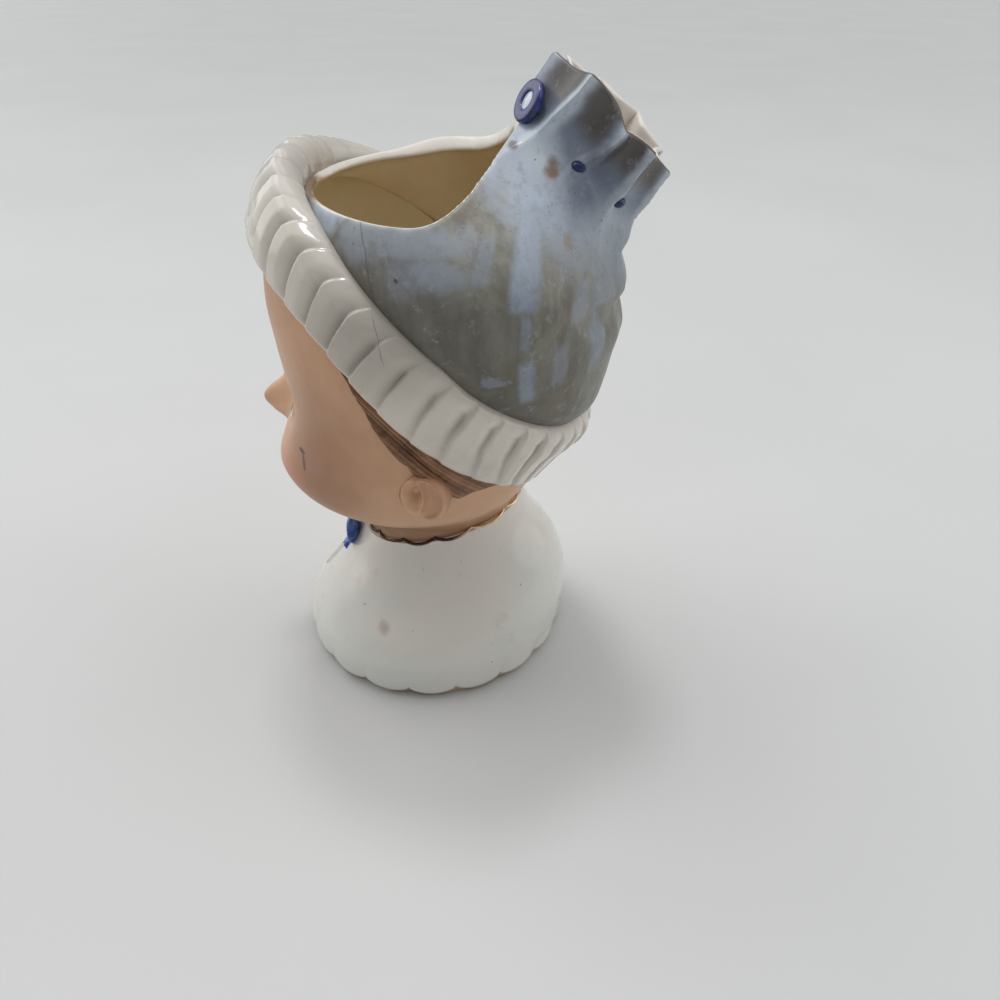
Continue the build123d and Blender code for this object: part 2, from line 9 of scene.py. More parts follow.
import bmesh
import bpy
import numpy as np
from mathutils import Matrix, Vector


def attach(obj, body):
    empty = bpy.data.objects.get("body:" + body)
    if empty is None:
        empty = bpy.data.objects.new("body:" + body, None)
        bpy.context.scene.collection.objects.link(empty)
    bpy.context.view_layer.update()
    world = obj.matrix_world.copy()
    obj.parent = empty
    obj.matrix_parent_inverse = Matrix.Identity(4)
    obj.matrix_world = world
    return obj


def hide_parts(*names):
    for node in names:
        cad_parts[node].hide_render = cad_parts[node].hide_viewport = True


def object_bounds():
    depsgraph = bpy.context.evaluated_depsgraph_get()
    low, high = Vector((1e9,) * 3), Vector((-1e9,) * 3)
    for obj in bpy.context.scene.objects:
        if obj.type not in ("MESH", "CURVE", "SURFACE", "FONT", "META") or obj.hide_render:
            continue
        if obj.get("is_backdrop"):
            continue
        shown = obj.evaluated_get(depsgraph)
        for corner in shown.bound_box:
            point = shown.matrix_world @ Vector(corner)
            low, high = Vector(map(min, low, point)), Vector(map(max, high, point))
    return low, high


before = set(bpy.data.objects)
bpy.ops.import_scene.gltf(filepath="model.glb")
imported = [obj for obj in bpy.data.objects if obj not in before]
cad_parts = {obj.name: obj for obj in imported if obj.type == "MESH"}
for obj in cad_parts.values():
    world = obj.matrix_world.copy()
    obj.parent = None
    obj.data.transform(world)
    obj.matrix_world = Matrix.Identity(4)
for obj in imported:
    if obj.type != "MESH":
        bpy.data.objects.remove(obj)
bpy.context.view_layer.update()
MM = 0.001
print("packed nodes:", len(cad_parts))

# %% [markdown]
# The camera looks down on the figure's left side, a little from behind, with a short lens.
# Its place was worked out from the photograph: the hem's oval gives the pitch, and the
# lines of the ear, cuff and tail give the turn.

# %% Camera
CAMERA_PLACE = (166.8, 43.2, 167.1)
CAMERA_PITCH = 36.6
CAMERA_TURN = 98.0
SENSOR_WIDE = 36.0
LENS = 27.04

camera_data = bpy.data.cameras.new("photo_camera")
camera_data.sensor_width = SENSOR_WIDE
camera_data.lens = LENS
camera_data.clip_start = 10 * MM
camera = bpy.data.objects.new("photo_camera", camera_data)
camera.location = Vector(CAMERA_PLACE) * MM
camera.rotation_euler = (math.radians(90 - CAMERA_PITCH), 0, math.radians(CAMERA_TURN))
bpy.context.scene.collection.objects.link(camera)
bpy.context.scene.camera = camera
print("camera distance in mm:", round(Vector(CAMERA_PLACE).length, 1))

# %% [markdown]
# A form with an oval plan is held as a table: a height share and the reach of the section
# in each direction. Straight lines between the rows would show as facets under a gloss
# glaze, so the rows are read through a smooth curve instead.

# %% Read a table of shares on a smooth curve
def follow(table, at):
    """Every column of a table at the given places, on a curve through its rows."""
    rows = np.array(table, float)
    x, y = rows[:, 0], rows[:, 1:]
    slope = np.gradient(y, x, axis=0)
    at = np.clip(np.asarray(at, float), x[0], x[-1])
    index = np.clip(np.searchsorted(x, at, side="right") - 1, 0, len(x) - 2)
    step = (x[index + 1] - x[index])[..., None]
    t = (at - x[index])[..., None] / step
    start = (2 * t**3 - 3 * t**2 + 1) * y[index] + (t**3 - 2 * t**2 + t) * step * slope[index]
    end = (3 * t**2 - 2 * t**3) * y[index + 1] + (t**3 - t**2) * step * slope[index + 1]
    return np.moveaxis(start + end, -1, 0)


def ease(value, low, high):
    """0 below low, 1 above high and a soft step between them."""
    t = np.clip((value - low) / (high - low), 0, 1)
    return t * t * (3 - 2 * t)


def swell(x, z, centre_x, centre_z, wide, tall):
    """Soft round swelling: 1 at its centre, and gone about two widths away."""
    return np.exp(-(((x - centre_x) / wide) ** 2) - ((z - centre_z) / tall) ** 2)


def ripple(along, across, seed, waves=5):
    """Slow uneven wave with no repeat that shows, from -1 to 1."""
    chance = np.random.default_rng(seed)
    total = 0
    for turn, rate, phase in zip(chance.uniform(0, math.tau, waves), chance.uniform(0.6, 1.7, waves),
                                 chance.uniform(0, math.tau, waves)):
        total = total + np.sin(rate * (along * math.cos(turn) + across * math.sin(turn)) + phase)
    return total / waves


# %% [markdown]
# A closed body of pottery is a stack of rings. Each ring has the same number of points, so
# neighbours are joined by four-sided faces, and the ends are closed by a fan or joined to
# each other. A pad that lies on another form is a front sheet and a back sheet with sides.

# %% Mesh helpers
def ring_faces(rows, columns, joined):
    """Faces between rings, and between the last and the first where they are joined."""
    index = np.arange(rows * columns).reshape(rows, columns)
    beside = np.roll(index, -1, axis=1)
    above, above_beside = np.roll(index, -1, axis=0), np.roll(beside, -1, axis=0)
    count = rows if joined else rows - 1
    quads = np.stack([index, beside, above_beside, above], -1)[:count]
    return quads.reshape(-1, 4).tolist()


def ring_body(rings, joined=False):
    """Points and faces of a closed body from its rings."""
    rings = np.asarray(rings, float)
    rows, columns = rings.shape[:2]
    points = rings.reshape(-1, 3)
    faces = ring_faces(rows, columns, joined)
    if not joined:
        foot, top = len(points), len(points) + 1
        points = np.vstack([points, rings[0].mean(0), rings[-1].mean(0)])
        last = (rows - 1) * columns
        for i in range(columns):
            j = (i + 1) % columns
            faces.append([foot, j, i])
            faces.append([top, last + i, last + j])
    return points, faces


def pad_body(front, back):
    """Points and faces of a pad: a front sheet, a back sheet and the strip round them."""
    rows, columns = front.shape[:2]
    size = rows * columns
    points = np.vstack([front.reshape(-1, 3), back.reshape(-1, 3)])
    index = np.arange(size).reshape(rows, columns)
    quads = np.stack([index[:-1, :-1], index[:-1, 1:], index[1:, 1:], index[1:, :-1]], -1).reshape(-1, 4)
    border = np.concatenate([index[0, :-1], index[:-1, -1], index[-1, :0:-1], index[:0:-1, 0]])
    beside = np.roll(border, -1)
    strip = np.stack([border + size, beside + size, beside, border], -1)
    return points, quads.tolist() + (quads[:, ::-1] + size).tolist() + strip.tolist()


def tube_body(path, radii, squash=1.0, strands=0, groove=0.0, sides=28):
    """Points and faces of a tapered lock or cord that follows a path."""
    path = np.asarray(path, float)
    along = np.gradient(path, axis=0)
    along /= np.linalg.norm(along, axis=1)[:, None]
    normal = np.cross(along[0], (1.0, 0.3, 0.2))
    angle = np.linspace(0, math.tau, sides, endpoint=False)
    rings = []
    for place, ahead, radius in zip(path, along, radii):
        normal = normal - ahead * (normal @ ahead)
        normal /= np.linalg.norm(normal)
        other = np.cross(ahead, normal)
        size = radius * (1 - groove * (0.5 + 0.5 * np.cos(strands * angle)))
        across, over = size * np.cos(angle), size * np.sin(angle) * squash
        rings.append(place + np.outer(across, normal) + np.outer(over, other))
    return ring_body(rings)


def several(bodies):
    """Several closed bodies as the points and faces of one piece."""
    points, faces, count = [], [], 0
    for body_points, body_faces in bodies:
        points.append(body_points)
        faces += [[i + count for i in face] for face in body_faces]
        count += len(body_points)
    return np.vstack(points), faces


def add_mesh(name, points, faces):
    """A mesh object, from points in millimetres."""
    mesh = bpy.data.meshes.new(name)
    mesh.from_pydata((np.asarray(points) * MM).tolist(), [], faces)
    mesh.update()
    made = bpy.data.objects.new(name, mesh)
    bpy.context.scene.collection.objects.link(made)
    return made


def dress(made, paint, slot, *nodes, crease=60):
    """Smooth shading, the finish, the body that it rides on and the nodes it stands for."""
    made.data.polygons.foreach_set("use_smooth", [True] * len(made.data.polygons))
    made.data.set_sharp_from_angle(angle=math.radians(crease))
    made.data.materials.clear()
    made.data.materials.append(paint.material)
    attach(made, "root")
    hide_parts(*nodes)
    print(made.name, len(made.data.polygons), "faces")
    return made


def mark(made, name, values):
    """Keep one number for each point of a mesh, for its finish to read."""
    attribute = made.data.attributes.new(name, "FLOAT", "POINT")
    attribute.data.foreach_set("value", np.asarray(values, np.float32))


def points_of(made):
    """The points of a mesh in millimetres."""
    flat = np.zeros(len(made.data.vertices) * 3, np.float32)
    made.data.vertices.foreach_get("co", flat)
    return flat.reshape(-1, 3).astype(float) / MM


def set_points(made, points):
    """Put moved points, in millimetres, back into a mesh."""
    made.data.vertices.foreach_set("co", (np.asarray(points) * MM).astype(np.float32).ravel())
    made.data.update()


def settle(made, kind, **settings):
    """Add a modifier, work it out and keep only its result."""
    modifier = made.modifiers.new(kind.lower(), kind)
    for key, value in settings.items():
        setattr(modifier, key, value)
    ready = made.evaluated_get(bpy.context.evaluated_depsgraph_get())
    result = bpy.data.meshes.new_from_object(ready)
    made.modifiers.clear()
    made.data = result
    return made


# %% [markdown]
# Glaze is never one colour: it pools, thins, stains and crazes. Each finish is worked out
# from places on the object, so it looks the same from every side. A small class lets the
# shader's numbers be written as sums, and one method adds every other node.

# %% Fields and paints
class Field:
    """A socket that varies over a surface, with Python's own signs for arithmetic."""

    def __init__(self, paint, socket):
        self.paint = paint
        self.socket = socket

    def work(self, operation, *others):
        values = dict(enumerate((self, *others)))
        return self.paint.node("ShaderNodeMath", {"operation": operation}, values)

    def __add__(self, other):
        return self.work("ADD", other)

    def __sub__(self, other):
        return self.work("SUBTRACT", other)

    def __rsub__(self, other):
        return self.paint.node("ShaderNodeMath", {"operation": "SUBTRACT"}, {0: other, 1: self})

    def __mul__(self, other):
        return self.work("MULTIPLY", other)

    def __truediv__(self, other):
        return self.work("DIVIDE", other)

    def __pow__(self, other):
        return self.work("POWER", other)

    def __abs__(self):
        return self.work("ABSOLUTE")

    def most(self, other):
        return self.work("MAXIMUM", other)

    def step(self, low, high):
        """0 at low and 1 at high, softly."""
        return self.paint.node("ShaderNodeMapRange", {"interpolation_type": "SMOOTHSTEP"},
                               {0: self, 1: low, 2: high, 3: 0.0, 4: 1.0})

    __radd__ = __add__
    __rmul__ = __mul__


def tone(red, green, blue):
    """A colour as read off a screen, 0 to 255, as the linear light that a shader takes."""
    parts = [value / 255 for value in (red, green, blue)]
    return (*[p / 12.92 if p <= 0.04045 else ((p + 0.055) / 1.055) ** 2.4 for p in parts], 1.0)


class Paint:
    """One finish: a material with the fields that it is worked out from."""

    def __init__(self, name, roughness=0.2, coat=0.0):
        self.material = bpy.data.materials.new(name)
        self.material.use_nodes = True
        self.tree = self.material.node_tree
        self.shader = self.tree.nodes["Principled BSDF"]
        self.shader.inputs["Roughness"].default_value = roughness
        self.shader.inputs["Coat Weight"].default_value = coat
        self.shader.inputs["Coat Roughness"].default_value = 0.06
        self.place = self.node("ShaderNodeTexCoord", {}, {}, "Object")
        self.x, self.y, self.z = [
            self.node("ShaderNodeSeparateXYZ", {}, {0: self.place}, axis) * (1 / MM) for axis in range(3)
        ]

    def node(self, kind, settings, sockets, output=0):
        """Add a node: its settings first, then the values or links of its sockets."""
        made = self.tree.nodes.new(kind)
        for key, value in settings.items():
            setattr(made, key, value)
        for key, value in sockets.items():
            if isinstance(value, Field):
                self.tree.links.new(value.socket, made.inputs[key])
            else:
                made.inputs[key].default_value = value
        return Field(self, made.outputs[output])

    def vector(self, operation, *sockets, output=0):
        return self.node("ShaderNodeVectorMath", {"operation": operation}, dict(enumerate(sockets)), output)

    def noise(self, size, detail=3.0, rough=0.5, twist=0.0, move=0.0, output=0):
        """Cloudy field, from 0 to 1, with clouds of about the given size in millimetres."""
        place = self.vector("ADD", self.place, (move, move * 0.7, -move))
        return self.node("ShaderNodeTexNoise", {}, {
            "Vector": place, "Scale": 1 / (size * MM), "Detail": detail, "Roughness": rough,
            "Distortion": twist,
        }, output)

    def cracks(self, size, wide, move=0.0):
        """Thin lines of crazing: 1 on a line, 0 between lines."""
        bend = self.vector("SCALE", self.noise(size, 2.0, output=1), (0, 0, 0), (0, 0, 0), size * MM * 0.5)
        place = self.vector("ADD", self.vector("ADD", self.place, bend), (move, move, move))
        edge = self.node("ShaderNodeTexVoronoi", {"feature": "DISTANCE_TO_EDGE"},
                         {"Vector": place, "Scale": 1 / (size * MM)})
        return 1 - edge.step(0.0, wide)

    def mix(self, share, low, high):
        """Colour that goes from low to high."""
        return self.node("ShaderNodeMix", {"data_type": "RGBA"}, {0: share, 6: low, 7: high}, 2)

    def lay(self, share, colour):
        """Lay a colour over the finish so far."""
        self.colour = self.mix(share, self.colour, colour)

    def spot(self, centre, radii, soft=0.4, wobble=0.0, size=6.0):
        """Round patch at a place on the object: 1 inside, 0 outside, with an uneven edge."""
        away = self.vector("SUBTRACT", self.place, tuple(c * MM for c in centre))
        away = self.vector("DIVIDE", away, tuple(r * MM for r in radii))
        reach = self.vector("LENGTH", away, output=1)
        if wobble:
            reach = reach + (self.noise(size, 3.0, move=centre[0] * MM) - 0.5) * wobble
        return 1 - reach.step(1 - soft, 1 + soft)

    def relief(self, height, depth):
        """Fine unevenness of the surface, in millimetres."""
        bump = self.node("ShaderNodeBump", {}, {"Strength": 1.0, "Distance": depth * MM, "Height": height})
        self.tree.links.new(bump.socket, self.shader.inputs["Normal"])

    def set(self, name, value):
        """Link a field, or set a plain value, on the shader's own socket."""
        if isinstance(value, Field):
            self.tree.links.new(value.socket, self.shader.inputs[name])
        else:
            self.shader.inputs[name].default_value = value


# %% [markdown]
# The cape, collar and cuff were dipped in a clear gloss glaze over white clay. Where it
# pools it is cooler, where it runs off an edge the warmer clay shows, and handling has
# left faint grey. The cream version goes on the cuff, with crazing, one longer crack and
# painted shade in the creases of its ribs.

# %% White glazes
def white_glaze(name, thin, thick, craze):
    """Clear glaze over pale clay, with clouds, dirt, pits and a share of crazing."""
    paint = Paint(name, roughness=0.16, coat=0.35)
    cloud = paint.noise(26, 3.0, 0.55)
    fine = paint.noise(3.5, 4.0, 0.6, move=0.02)
    paint.colour = paint.mix(cloud.step(0.38, 0.66), thin, thick)
    dirt = (paint.noise(9, 5.0, 0.65, move=0.05).step(0.56, 0.8)) * 0.35
    paint.lay(dirt, tone(178, 170, 156))
    lines = paint.cracks(7.0, 0.012, 0.01) * paint.noise(16, 2.0, move=0.09).step(0.48, 0.66) * craze
    paint.lay(lines, tone(120, 112, 98))
    pits = paint.noise(1.6, 1.0, move=0.03).step(0.77, 0.82)
    paint.lay(pits * 0.5, tone(110, 98, 84))
    paint.relief(cloud * 0.5 + fine * 0.12 - pits * 0.2, 0.35)
    paint.set("Roughness", 0.13 + fine * 0.10 + dirt * 0.3)
    return paint


cape_paint = white_glaze("white_glaze", tone(236, 231, 222), tone(228, 228, 221), 0.0)
SMUDGE = (30.6, -7.5, 18.9)
smudge = cape_paint.spot(SMUDGE, (2.6, 1.5, 1.5), 0.6, 1.0, 1.6)
cape_paint.lay(smudge * 0.42, tone(150, 126, 104))
HEM_SHADE_TOP = 3.6
low = 1 - cape_paint.z.step(0.6, HEM_SHADE_TOP)
worn_low = low * cape_paint.noise(7, 3.0, move=0.3).step(0.4, 0.6)
cape_paint.lay(worn_low * 0.6, tone(176, 150, 122))
cape_paint.set("Base Color", cape_paint.colour)

cuff_paint = white_glaze("cream_glaze", tone(224, 216, 204), tone(211, 206, 198), 0.2)
hollow = cuff_paint.node("ShaderNodeAttribute", {"attribute_name": "groove"}, {}, 2)
# A greyer patch low on the side of the cuff towards +X.
cuff_grey_patch = cuff_paint.spot((42, 0, 105), (9, 17, 9), 0.6, 0.5, 9.0)
cuff_paint.lay(cuff_grey_patch * 0.5, tone(166, 158, 146))
# Painted shade in the rib creases, read from the crease shade kept on the mesh.
cuff_paint.lay(hollow.most(0.0) * 0.55, tone(142, 130, 116))
cuff_paint.lay((hollow * -1.0).step(0.2, 0.9) * 0.5, tone(216, 184, 162))
CRACK_FROM = (39.6, 1.7, 111.5)
crack_away = abs(cuff_paint.y - CRACK_FROM[1] + (cuff_paint.z - CRACK_FROM[2]) * 0.28
                 + (cuff_paint.noise(5, 3.0) - 0.5) * 1.6)
crack = (1 - crack_away.step(0.04, 0.14)) * cuff_paint.x.step(20, 24)
crack = crack * cuff_paint.z.step(103, 105) * (1 - cuff_paint.z.step(110.5, 112.5))
cuff_paint.lay(crack * 0.55, tone(96, 84, 74))
cuff_paint.set("Base Color", cuff_paint.colour)
print("white glazes ready")

# %% [markdown]
# The knitted crown had a pale blue wash over the glaze. Years of damp soil have stained it
# olive and brown, and the blue is left in patches and in runs that go straight down. The
# inside is the brown of a planted pot. One finish serves the crown and its gathered tail,
# so no line shows between them. Stain and wash carry painted light that makes them lighter
# towards the top, and the crown has painted shade low down by the cuff.

# %% Stained blue wash
HAT_TILT = math.radians(41.5)
HAT_CENTRE = np.array([0, 12.2, 100.9])

# centre, reach in each direction and strength of the places where the blue has lasted
BLUE_PLACES = [
    ((36.0, 10.0, 124.2), (7.0, 10.0, 2.8), 0.62),
    ((26.0, -9.5, 125.8), (9.0, 5.0, 3.0), 0.85),
    ((35.0, -1.0, 124.0), (5.0, 6.0, 4.5), 0.5),
    ((38.0, 12.0, 119.5), (5.0, 7.0, 3.5), 0.7),
    ((22.0, 43.6, 101.5), (4.0, 3.0, 6.0), 0.6),
    ((20.0, 31.0, 130.5), (13.0, 9.5, 10.0), 0.9),
    ((15.5, 41.0, 119.0), (5.5, 4.5, 8.5), 0.6),
    ((-28.0, 26.0, 124.0), (10.0, 8.0, 9.0), 1.0),
    ((-37.0, 8.0, 120.0), (5.0, 5.0, 9.0), 0.8),
    ((-30.0, 36.0, 104.0), (5.0, 4.0, 12.0), 0.8),
    ((-6.0, 49.0, 112.0), (6.0, 6.0, 10.0), 0.7),
]
# middle, half width, lower end, upper end and strength of the runs down the left side
BLUE_RUNS = [
    (29.2, 2.3, 112.3, 131.0, 1.0), (29.8, 0.9, 105.6, 112.0, 0.55), (30.3, 1.3, 93.6, 102.8, 0.8),
    (39.4, 1.2, 107.5, 114.5, 0.55), (44.0, 2.6, 107.0, 121.0, 0.55), (22.0, 1.4, 118.0, 125.0, 0.5),
    (36.2, 1.1, 96.0, 104.0, 0.45), (7.0, 2.3, 115.0, 122.0, 0.35),
]

hat_paint = Paint("blue_wash", roughness=0.4, coat=0.12)
grain = hat_paint.noise(2.2, 5.0, 0.7, move=0.04)
cloud = hat_paint.noise(13, 4.0, 0.6, 0.6)
hat_back, hat_up = hat_paint.y - float(HAT_CENTRE[1]), hat_paint.z - float(HAT_CENTRE[2])
hat_rise = hat_back * math.sin(HAT_TILT) + hat_up * math.cos(HAT_TILT)
tall_place = hat_paint.vector("MULTIPLY", hat_paint.place, (1.0, 1.0, 0.22))
streak = hat_paint.node("ShaderNodeTexNoise", {}, {
    "Vector": tall_place, "Scale": 1 / (4.5 * MM), "Detail": 4.0, "Roughness": 0.6, "Distortion": 0.3,
})
# Painted light: the olive stain is lighter towards the top.
lit = (hat_paint.z + (cloud - 0.5) * 6).step(108, 126)
olive = hat_paint.mix(lit, tone(134, 133, 122), tone(168, 167, 156))
dark_olive = hat_paint.mix(lit, tone(100, 97, 86), tone(136, 133, 120))
stain_and_painted_light = hat_paint.mix((cloud * 0.6 + streak * 0.4).step(0.4, 0.6), olive, dark_olive)
rust = hat_paint.noise(18, 4.0, 0.6, 0.4, move=0.2).step(0.54, 0.68)
stain_and_painted_light = hat_paint.mix(rust * 0.4, stain_and_painted_light, tone(122, 104, 76))
# Painted shade low on the crown, next to the cuff.
shade = 1 - (hat_rise + (cloud - 0.5) * 14).step(2, 22)
stain_and_painted_light = hat_paint.mix(shade * 0.55, stain_and_painted_light, tone(86, 82, 72))
blue = hat_paint.noise(17, 3.0, 0.55, 0.8, move=0.11).step(0.6, 0.66) * 0.5
for centre, radii, strength in BLUE_PLACES:
    blue = blue.most(hat_paint.spot(centre, radii, 0.42, 1.2, 4.5) * strength)
for middle, half, low_end, high_end, strength in BLUE_RUNS:
    waver = (hat_paint.noise(6, 3.0, 0.6, move=middle * MM) - 0.5) * 2.4
    run = 1 - abs(hat_paint.y - middle + waver).step(half * 0.55, half * 1.35 + 0.4)
    run = run * (hat_paint.z + waver).step(low_end - 1.0, low_end + 1.4) * hat_paint.x.step(8, 13)
    blue = blue.most(run * (1 - hat_paint.z.step(high_end - 1, high_end + 1.5)) * strength)
blue = blue.most((hat_rise + (cloud - 0.5) * 8).step(26, 32) * 0.8)
# Painted light: the blue wash is lighter towards the top.
wash_lit = (hat_paint.z + (streak - 0.5) * 14).step(112, 134)
wash = hat_paint.mix(wash_lit, tone(146, 158, 175), tone(200, 212, 230))
hat_paint.colour = hat_paint.mix(blue * (0.7 + grain * 0.45), stain_and_painted_light, wash)
print("blue wash laid in", len(BLUE_PLACES), "places and", len(BLUE_RUNS), "runs")

# %% [markdown]
# Three marks kept on the mesh steer the rest of the hat's finish: how deep a place lies in a
# flute, how far it lies inside the outer surface, and how far it is from the rim. Flutes have
# painted shade in their valleys and a painted highlight on their crests, and the rim is pale
# where it rubs.

# %% Flutes, rim, inside and marks of the hat
flute = hat_paint.node("ShaderNodeAttribute", {"attribute_name": "groove"}, {}, 2)
rim = hat_paint.node("ShaderNodeAttribute", {"attribute_name": "inset"}, {}, 2)
high = hat_rise.step(33, 40)
# Painted highlight on the crests of the flutes.
crest = (1 - (flute + (cloud - 0.5) * 0.3).step(0.02, 0.26)) * high
hat_paint.lay(crest * 0.65, tone(196, 206, 214))
# Painted shade in the valleys of the flutes, deeper in one valley by the tie.
valley_shade = (flute + (streak - 0.5) * 0.5).step(0.24, 0.66) * hat_rise.step(36, 42)
valley_shade = valley_shade.most(hat_paint.spot((16.5, 38.0, 129.5), (4.5, 3.6, 6.0), 0.6, 0.8, 4.0))
hat_paint.lay(valley_shade * 0.72, tone(98, 108, 132))
# Painted shadow in the valley just above a ridge of the tail.
valley_shadow_spot = hat_paint.spot((15.0, 41.0, 134.6), (5.0, 3.0, 6.5), 0.6, 0.8, 4.0)
hat_paint.lay(valley_shadow_spot * 0.75, tone(70, 82, 104))
# A pale blue patch, painted extra light where shade from the flute and the tie falls.
blue_patch_and_painted_light = hat_paint.spot((14.8, 29.6, 136.0), (4.0, 3.6, 3.6), 0.6, 0.8, 4.0)
hat_paint.lay(blue_patch_and_painted_light * 0.85, tone(220, 230, 240))
brown = (flute + (hat_paint.noise(6, 4.0, move=0.4) - 0.5) * 0.9).step(0.2, 0.75) * hat_rise.step(42, 47)
hat_paint.lay(brown * 0.9, tone(84, 76, 66))
rusty = hat_paint.spot((16.0, 32.0, 133.6), (2.6, 1.6, 3.0), 0.4, 0.9, 2.0)
hat_paint.lay(rusty * 0.85, tone(128, 92, 54))
speck = hat_paint.spot((14.2, 24.2, 136.9), (1.4, 1.0, 1.4), 0.4, 0.6, 1.0)
speck = speck.most(hat_paint.spot((39.8, 6.6, 118.6), (1.2, 0.42, 0.42), 0.4, 0.6, 0.8))
ochre = hat_paint.spot((22.1, 36.2, 121.4), (2.4, 1.1, 1.8), 0.5, 0.9, 1.2)
hat_paint.lay(speck * 0.8, tone(70, 58, 46))
hat_paint.lay(ochre * 0.5, tone(150, 126, 84))
grey_fleck = hat_paint.noise(2.6, 6.0, 0.75, move=0.7).step(0.5, 0.62)
hat_paint.lay(grey_fleck * 0.2, tone(98, 96, 90))
pale_fleck = hat_paint.noise(3.4, 6.0, 0.75, move=0.9).step(0.55, 0.66)
hat_paint.lay(pale_fleck * 0.22, tone(190, 196, 202))
specks = hat_paint.noise(1.1, 1.0, move=0.01).step(0.74, 0.79)
hat_paint.lay(specks * 0.55, tone(66, 62, 58))
crack_bend = (hat_paint.z - 126.4) * 0.19 + (hat_paint.noise(6, 3.0, move=0.3) - 0.5) * 1.6
crack_away = abs(hat_paint.y + 0.5 + crack_bend)
crack = (1 - crack_away.step(0.04, 0.22)) * hat_paint.x.step(25, 30) * hat_paint.z.step(113, 116)
hat_paint.lay(crack * 0.5, tone(62, 58, 54))
inside_cloud = hat_paint.noise(20, 4.0, 0.6, move=0.6).step(0.35, 0.7)
inside_tone = hat_paint.mix(inside_cloud, tone(233, 214, 178), tone(224, 202, 164))
in_tail = hat_rise.step(41, 43)
lobe_tone = hat_paint.mix(hat_rise.step(45.5, 48.0), tone(160, 144, 120), tone(244, 238, 230))
inside_tone = hat_paint.mix(in_tail, inside_tone, lobe_tone)
pale_width = (1 - hat_paint.x.step(-14, 6)) * 0.3 + 0.75
shaded_front = (1 - hat_paint.y.step(-16, -11)) * hat_paint.x.step(-2, 4)
pale = hat_paint.mix(shaded_front, tone(244, 238, 228), tone(132, 108, 76))
rim_tone = hat_paint.mix(in_tail * hat_paint.x.step(-6, 2), pale, tone(88, 76, 64))
hat_paint.lay(rim.step(0.12, 0.4), rim_tone)
uneven = (hat_paint.noise(4, 3.0, move=0.5) - 0.5) * 0.5
inner = (rim + uneven - pale_width).step(0.0, 0.35)
under_rim = hat_paint.node("ShaderNodeAttribute", {"attribute_name": "under"}, {}, 2)
inner = inner * (under_rim + uneven * 2.0 - (1 - hat_paint.x.step(-16, 0)) * 0.8).step(0.0, 0.4)
hat_paint.lay(inner, inside_tone)
hat_paint.set("Base Color", hat_paint.colour)
hat_paint.set("Roughness", 0.34 + grain * 0.25 - blue * 0.06)
hat_paint.relief(grain * 0.25 + cloud * 0.5 + blue * 0.3, 0.22)
print("blue wash ready:", len(hat_paint.tree.nodes), "nodes")

# %% [markdown]
# The head was sprayed with a matt flesh slip and fired without gloss, and the cheeks were
# airbrushed pink. The brows, lashes and small painted lines are laid on with a fine brush.
# The face is a calm doll's face and is the same on both sides, so it reads the side
# distance without its sign.

# %% Flesh
SKIN = tone(216, 170, 134)
SKIN_SHADE = tone(200, 150, 114)
BLUSH = tone(198, 122, 100)
HAIR_BROWN = tone(112, 74, 44)
EYE_SPREAD = 13.0
EYE_HEIGHT = 76.0
BROW_HEIGHT = 83.6

flesh_paint = Paint("flesh_bisque", roughness=0.42, coat=0.08)
flesh_cloud = flesh_paint.noise(20, 3.0, 0.55)
flesh_fine = flesh_paint.noise(0.9, 3.0, 0.6, move=0.02)
flesh_paint.colour = flesh_paint.mix(flesh_cloud.step(0.35, 0.68), SKIN, SKIN_SHADE)
for side in (-1, 1):
    blush = flesh_paint.spot((side * 21, -30, 62.5), (11, 13, 9.5), 0.75, 0.25, 8.0)
    flesh_paint.lay(blush * 0.62, BLUSH)
nose_blush = flesh_paint.spot((0, -42, 70), (5, 6, 5), 0.8)
flesh_paint.lay(nose_blush * 0.25, BLUSH)
aside = abs(flesh_paint.x)
front_side = 1 - flesh_paint.y.step(-22, -16)
along_brow = (aside - EYE_SPREAD) / 6.4
brow_away = abs(flesh_paint.z - BROW_HEIGHT + along_brow * along_brow * 1.9 - 1.2)
brow = (1 - brow_away.step(0.2, 0.75)) * (1 - abs(along_brow).step(0.75, 1.0)) * front_side
brow = brow * (0.6 + flesh_paint.noise(0.8, 2.0, move=0.3) * 0.6)
flesh_paint.lay(brow * 0.75, HAIR_BROWN)
chip = flesh_paint.spot((27.4, -22.8, 72.2), (2.4, 1.1, 0.6), 0.3, 1.2, 0.7)
chip = chip.most(flesh_paint.spot((27.9, -22.4, 69.4), (1.8, 0.5, 2.6), 0.3, 1.8, 0.5) * 0.75)
# Painted shade on the neck under the jaw, darker towards the collar.
neck = (1 - flesh_paint.z.step(43, 50)) * (0.5 + flesh_cloud * 0.5)
flesh_paint.lay(neck * 0.8, tone(138, 106, 82))
# Painted shade on the side of the face towards +X, behind the cheek.
cheek_side_shade = flesh_paint.spot((31, -17, 70), (9, 11, 19), 0.8, 0.3, 9.0)
# Painted highlight on the front of the face, over the cheek and nose.
face_front_highlight = flesh_paint.spot((12, -34, 72), (15, 9, 15), 0.6, 0.3, 9.0)
flesh_paint.lay(face_front_highlight * 0.5, tone(238, 198, 162))
flesh_paint.lay(cheek_side_shade * 0.8, tone(160, 112, 80))
flesh_paint.lay(chip * 0.85, tone(62, 40, 38))
inner = flesh_paint.node("ShaderNodeAttribute", {"attribute_name": "inset"}, {}, 2)
flesh_paint.lay(inner.step(0.5, 1.6), tone(237, 223, 190))
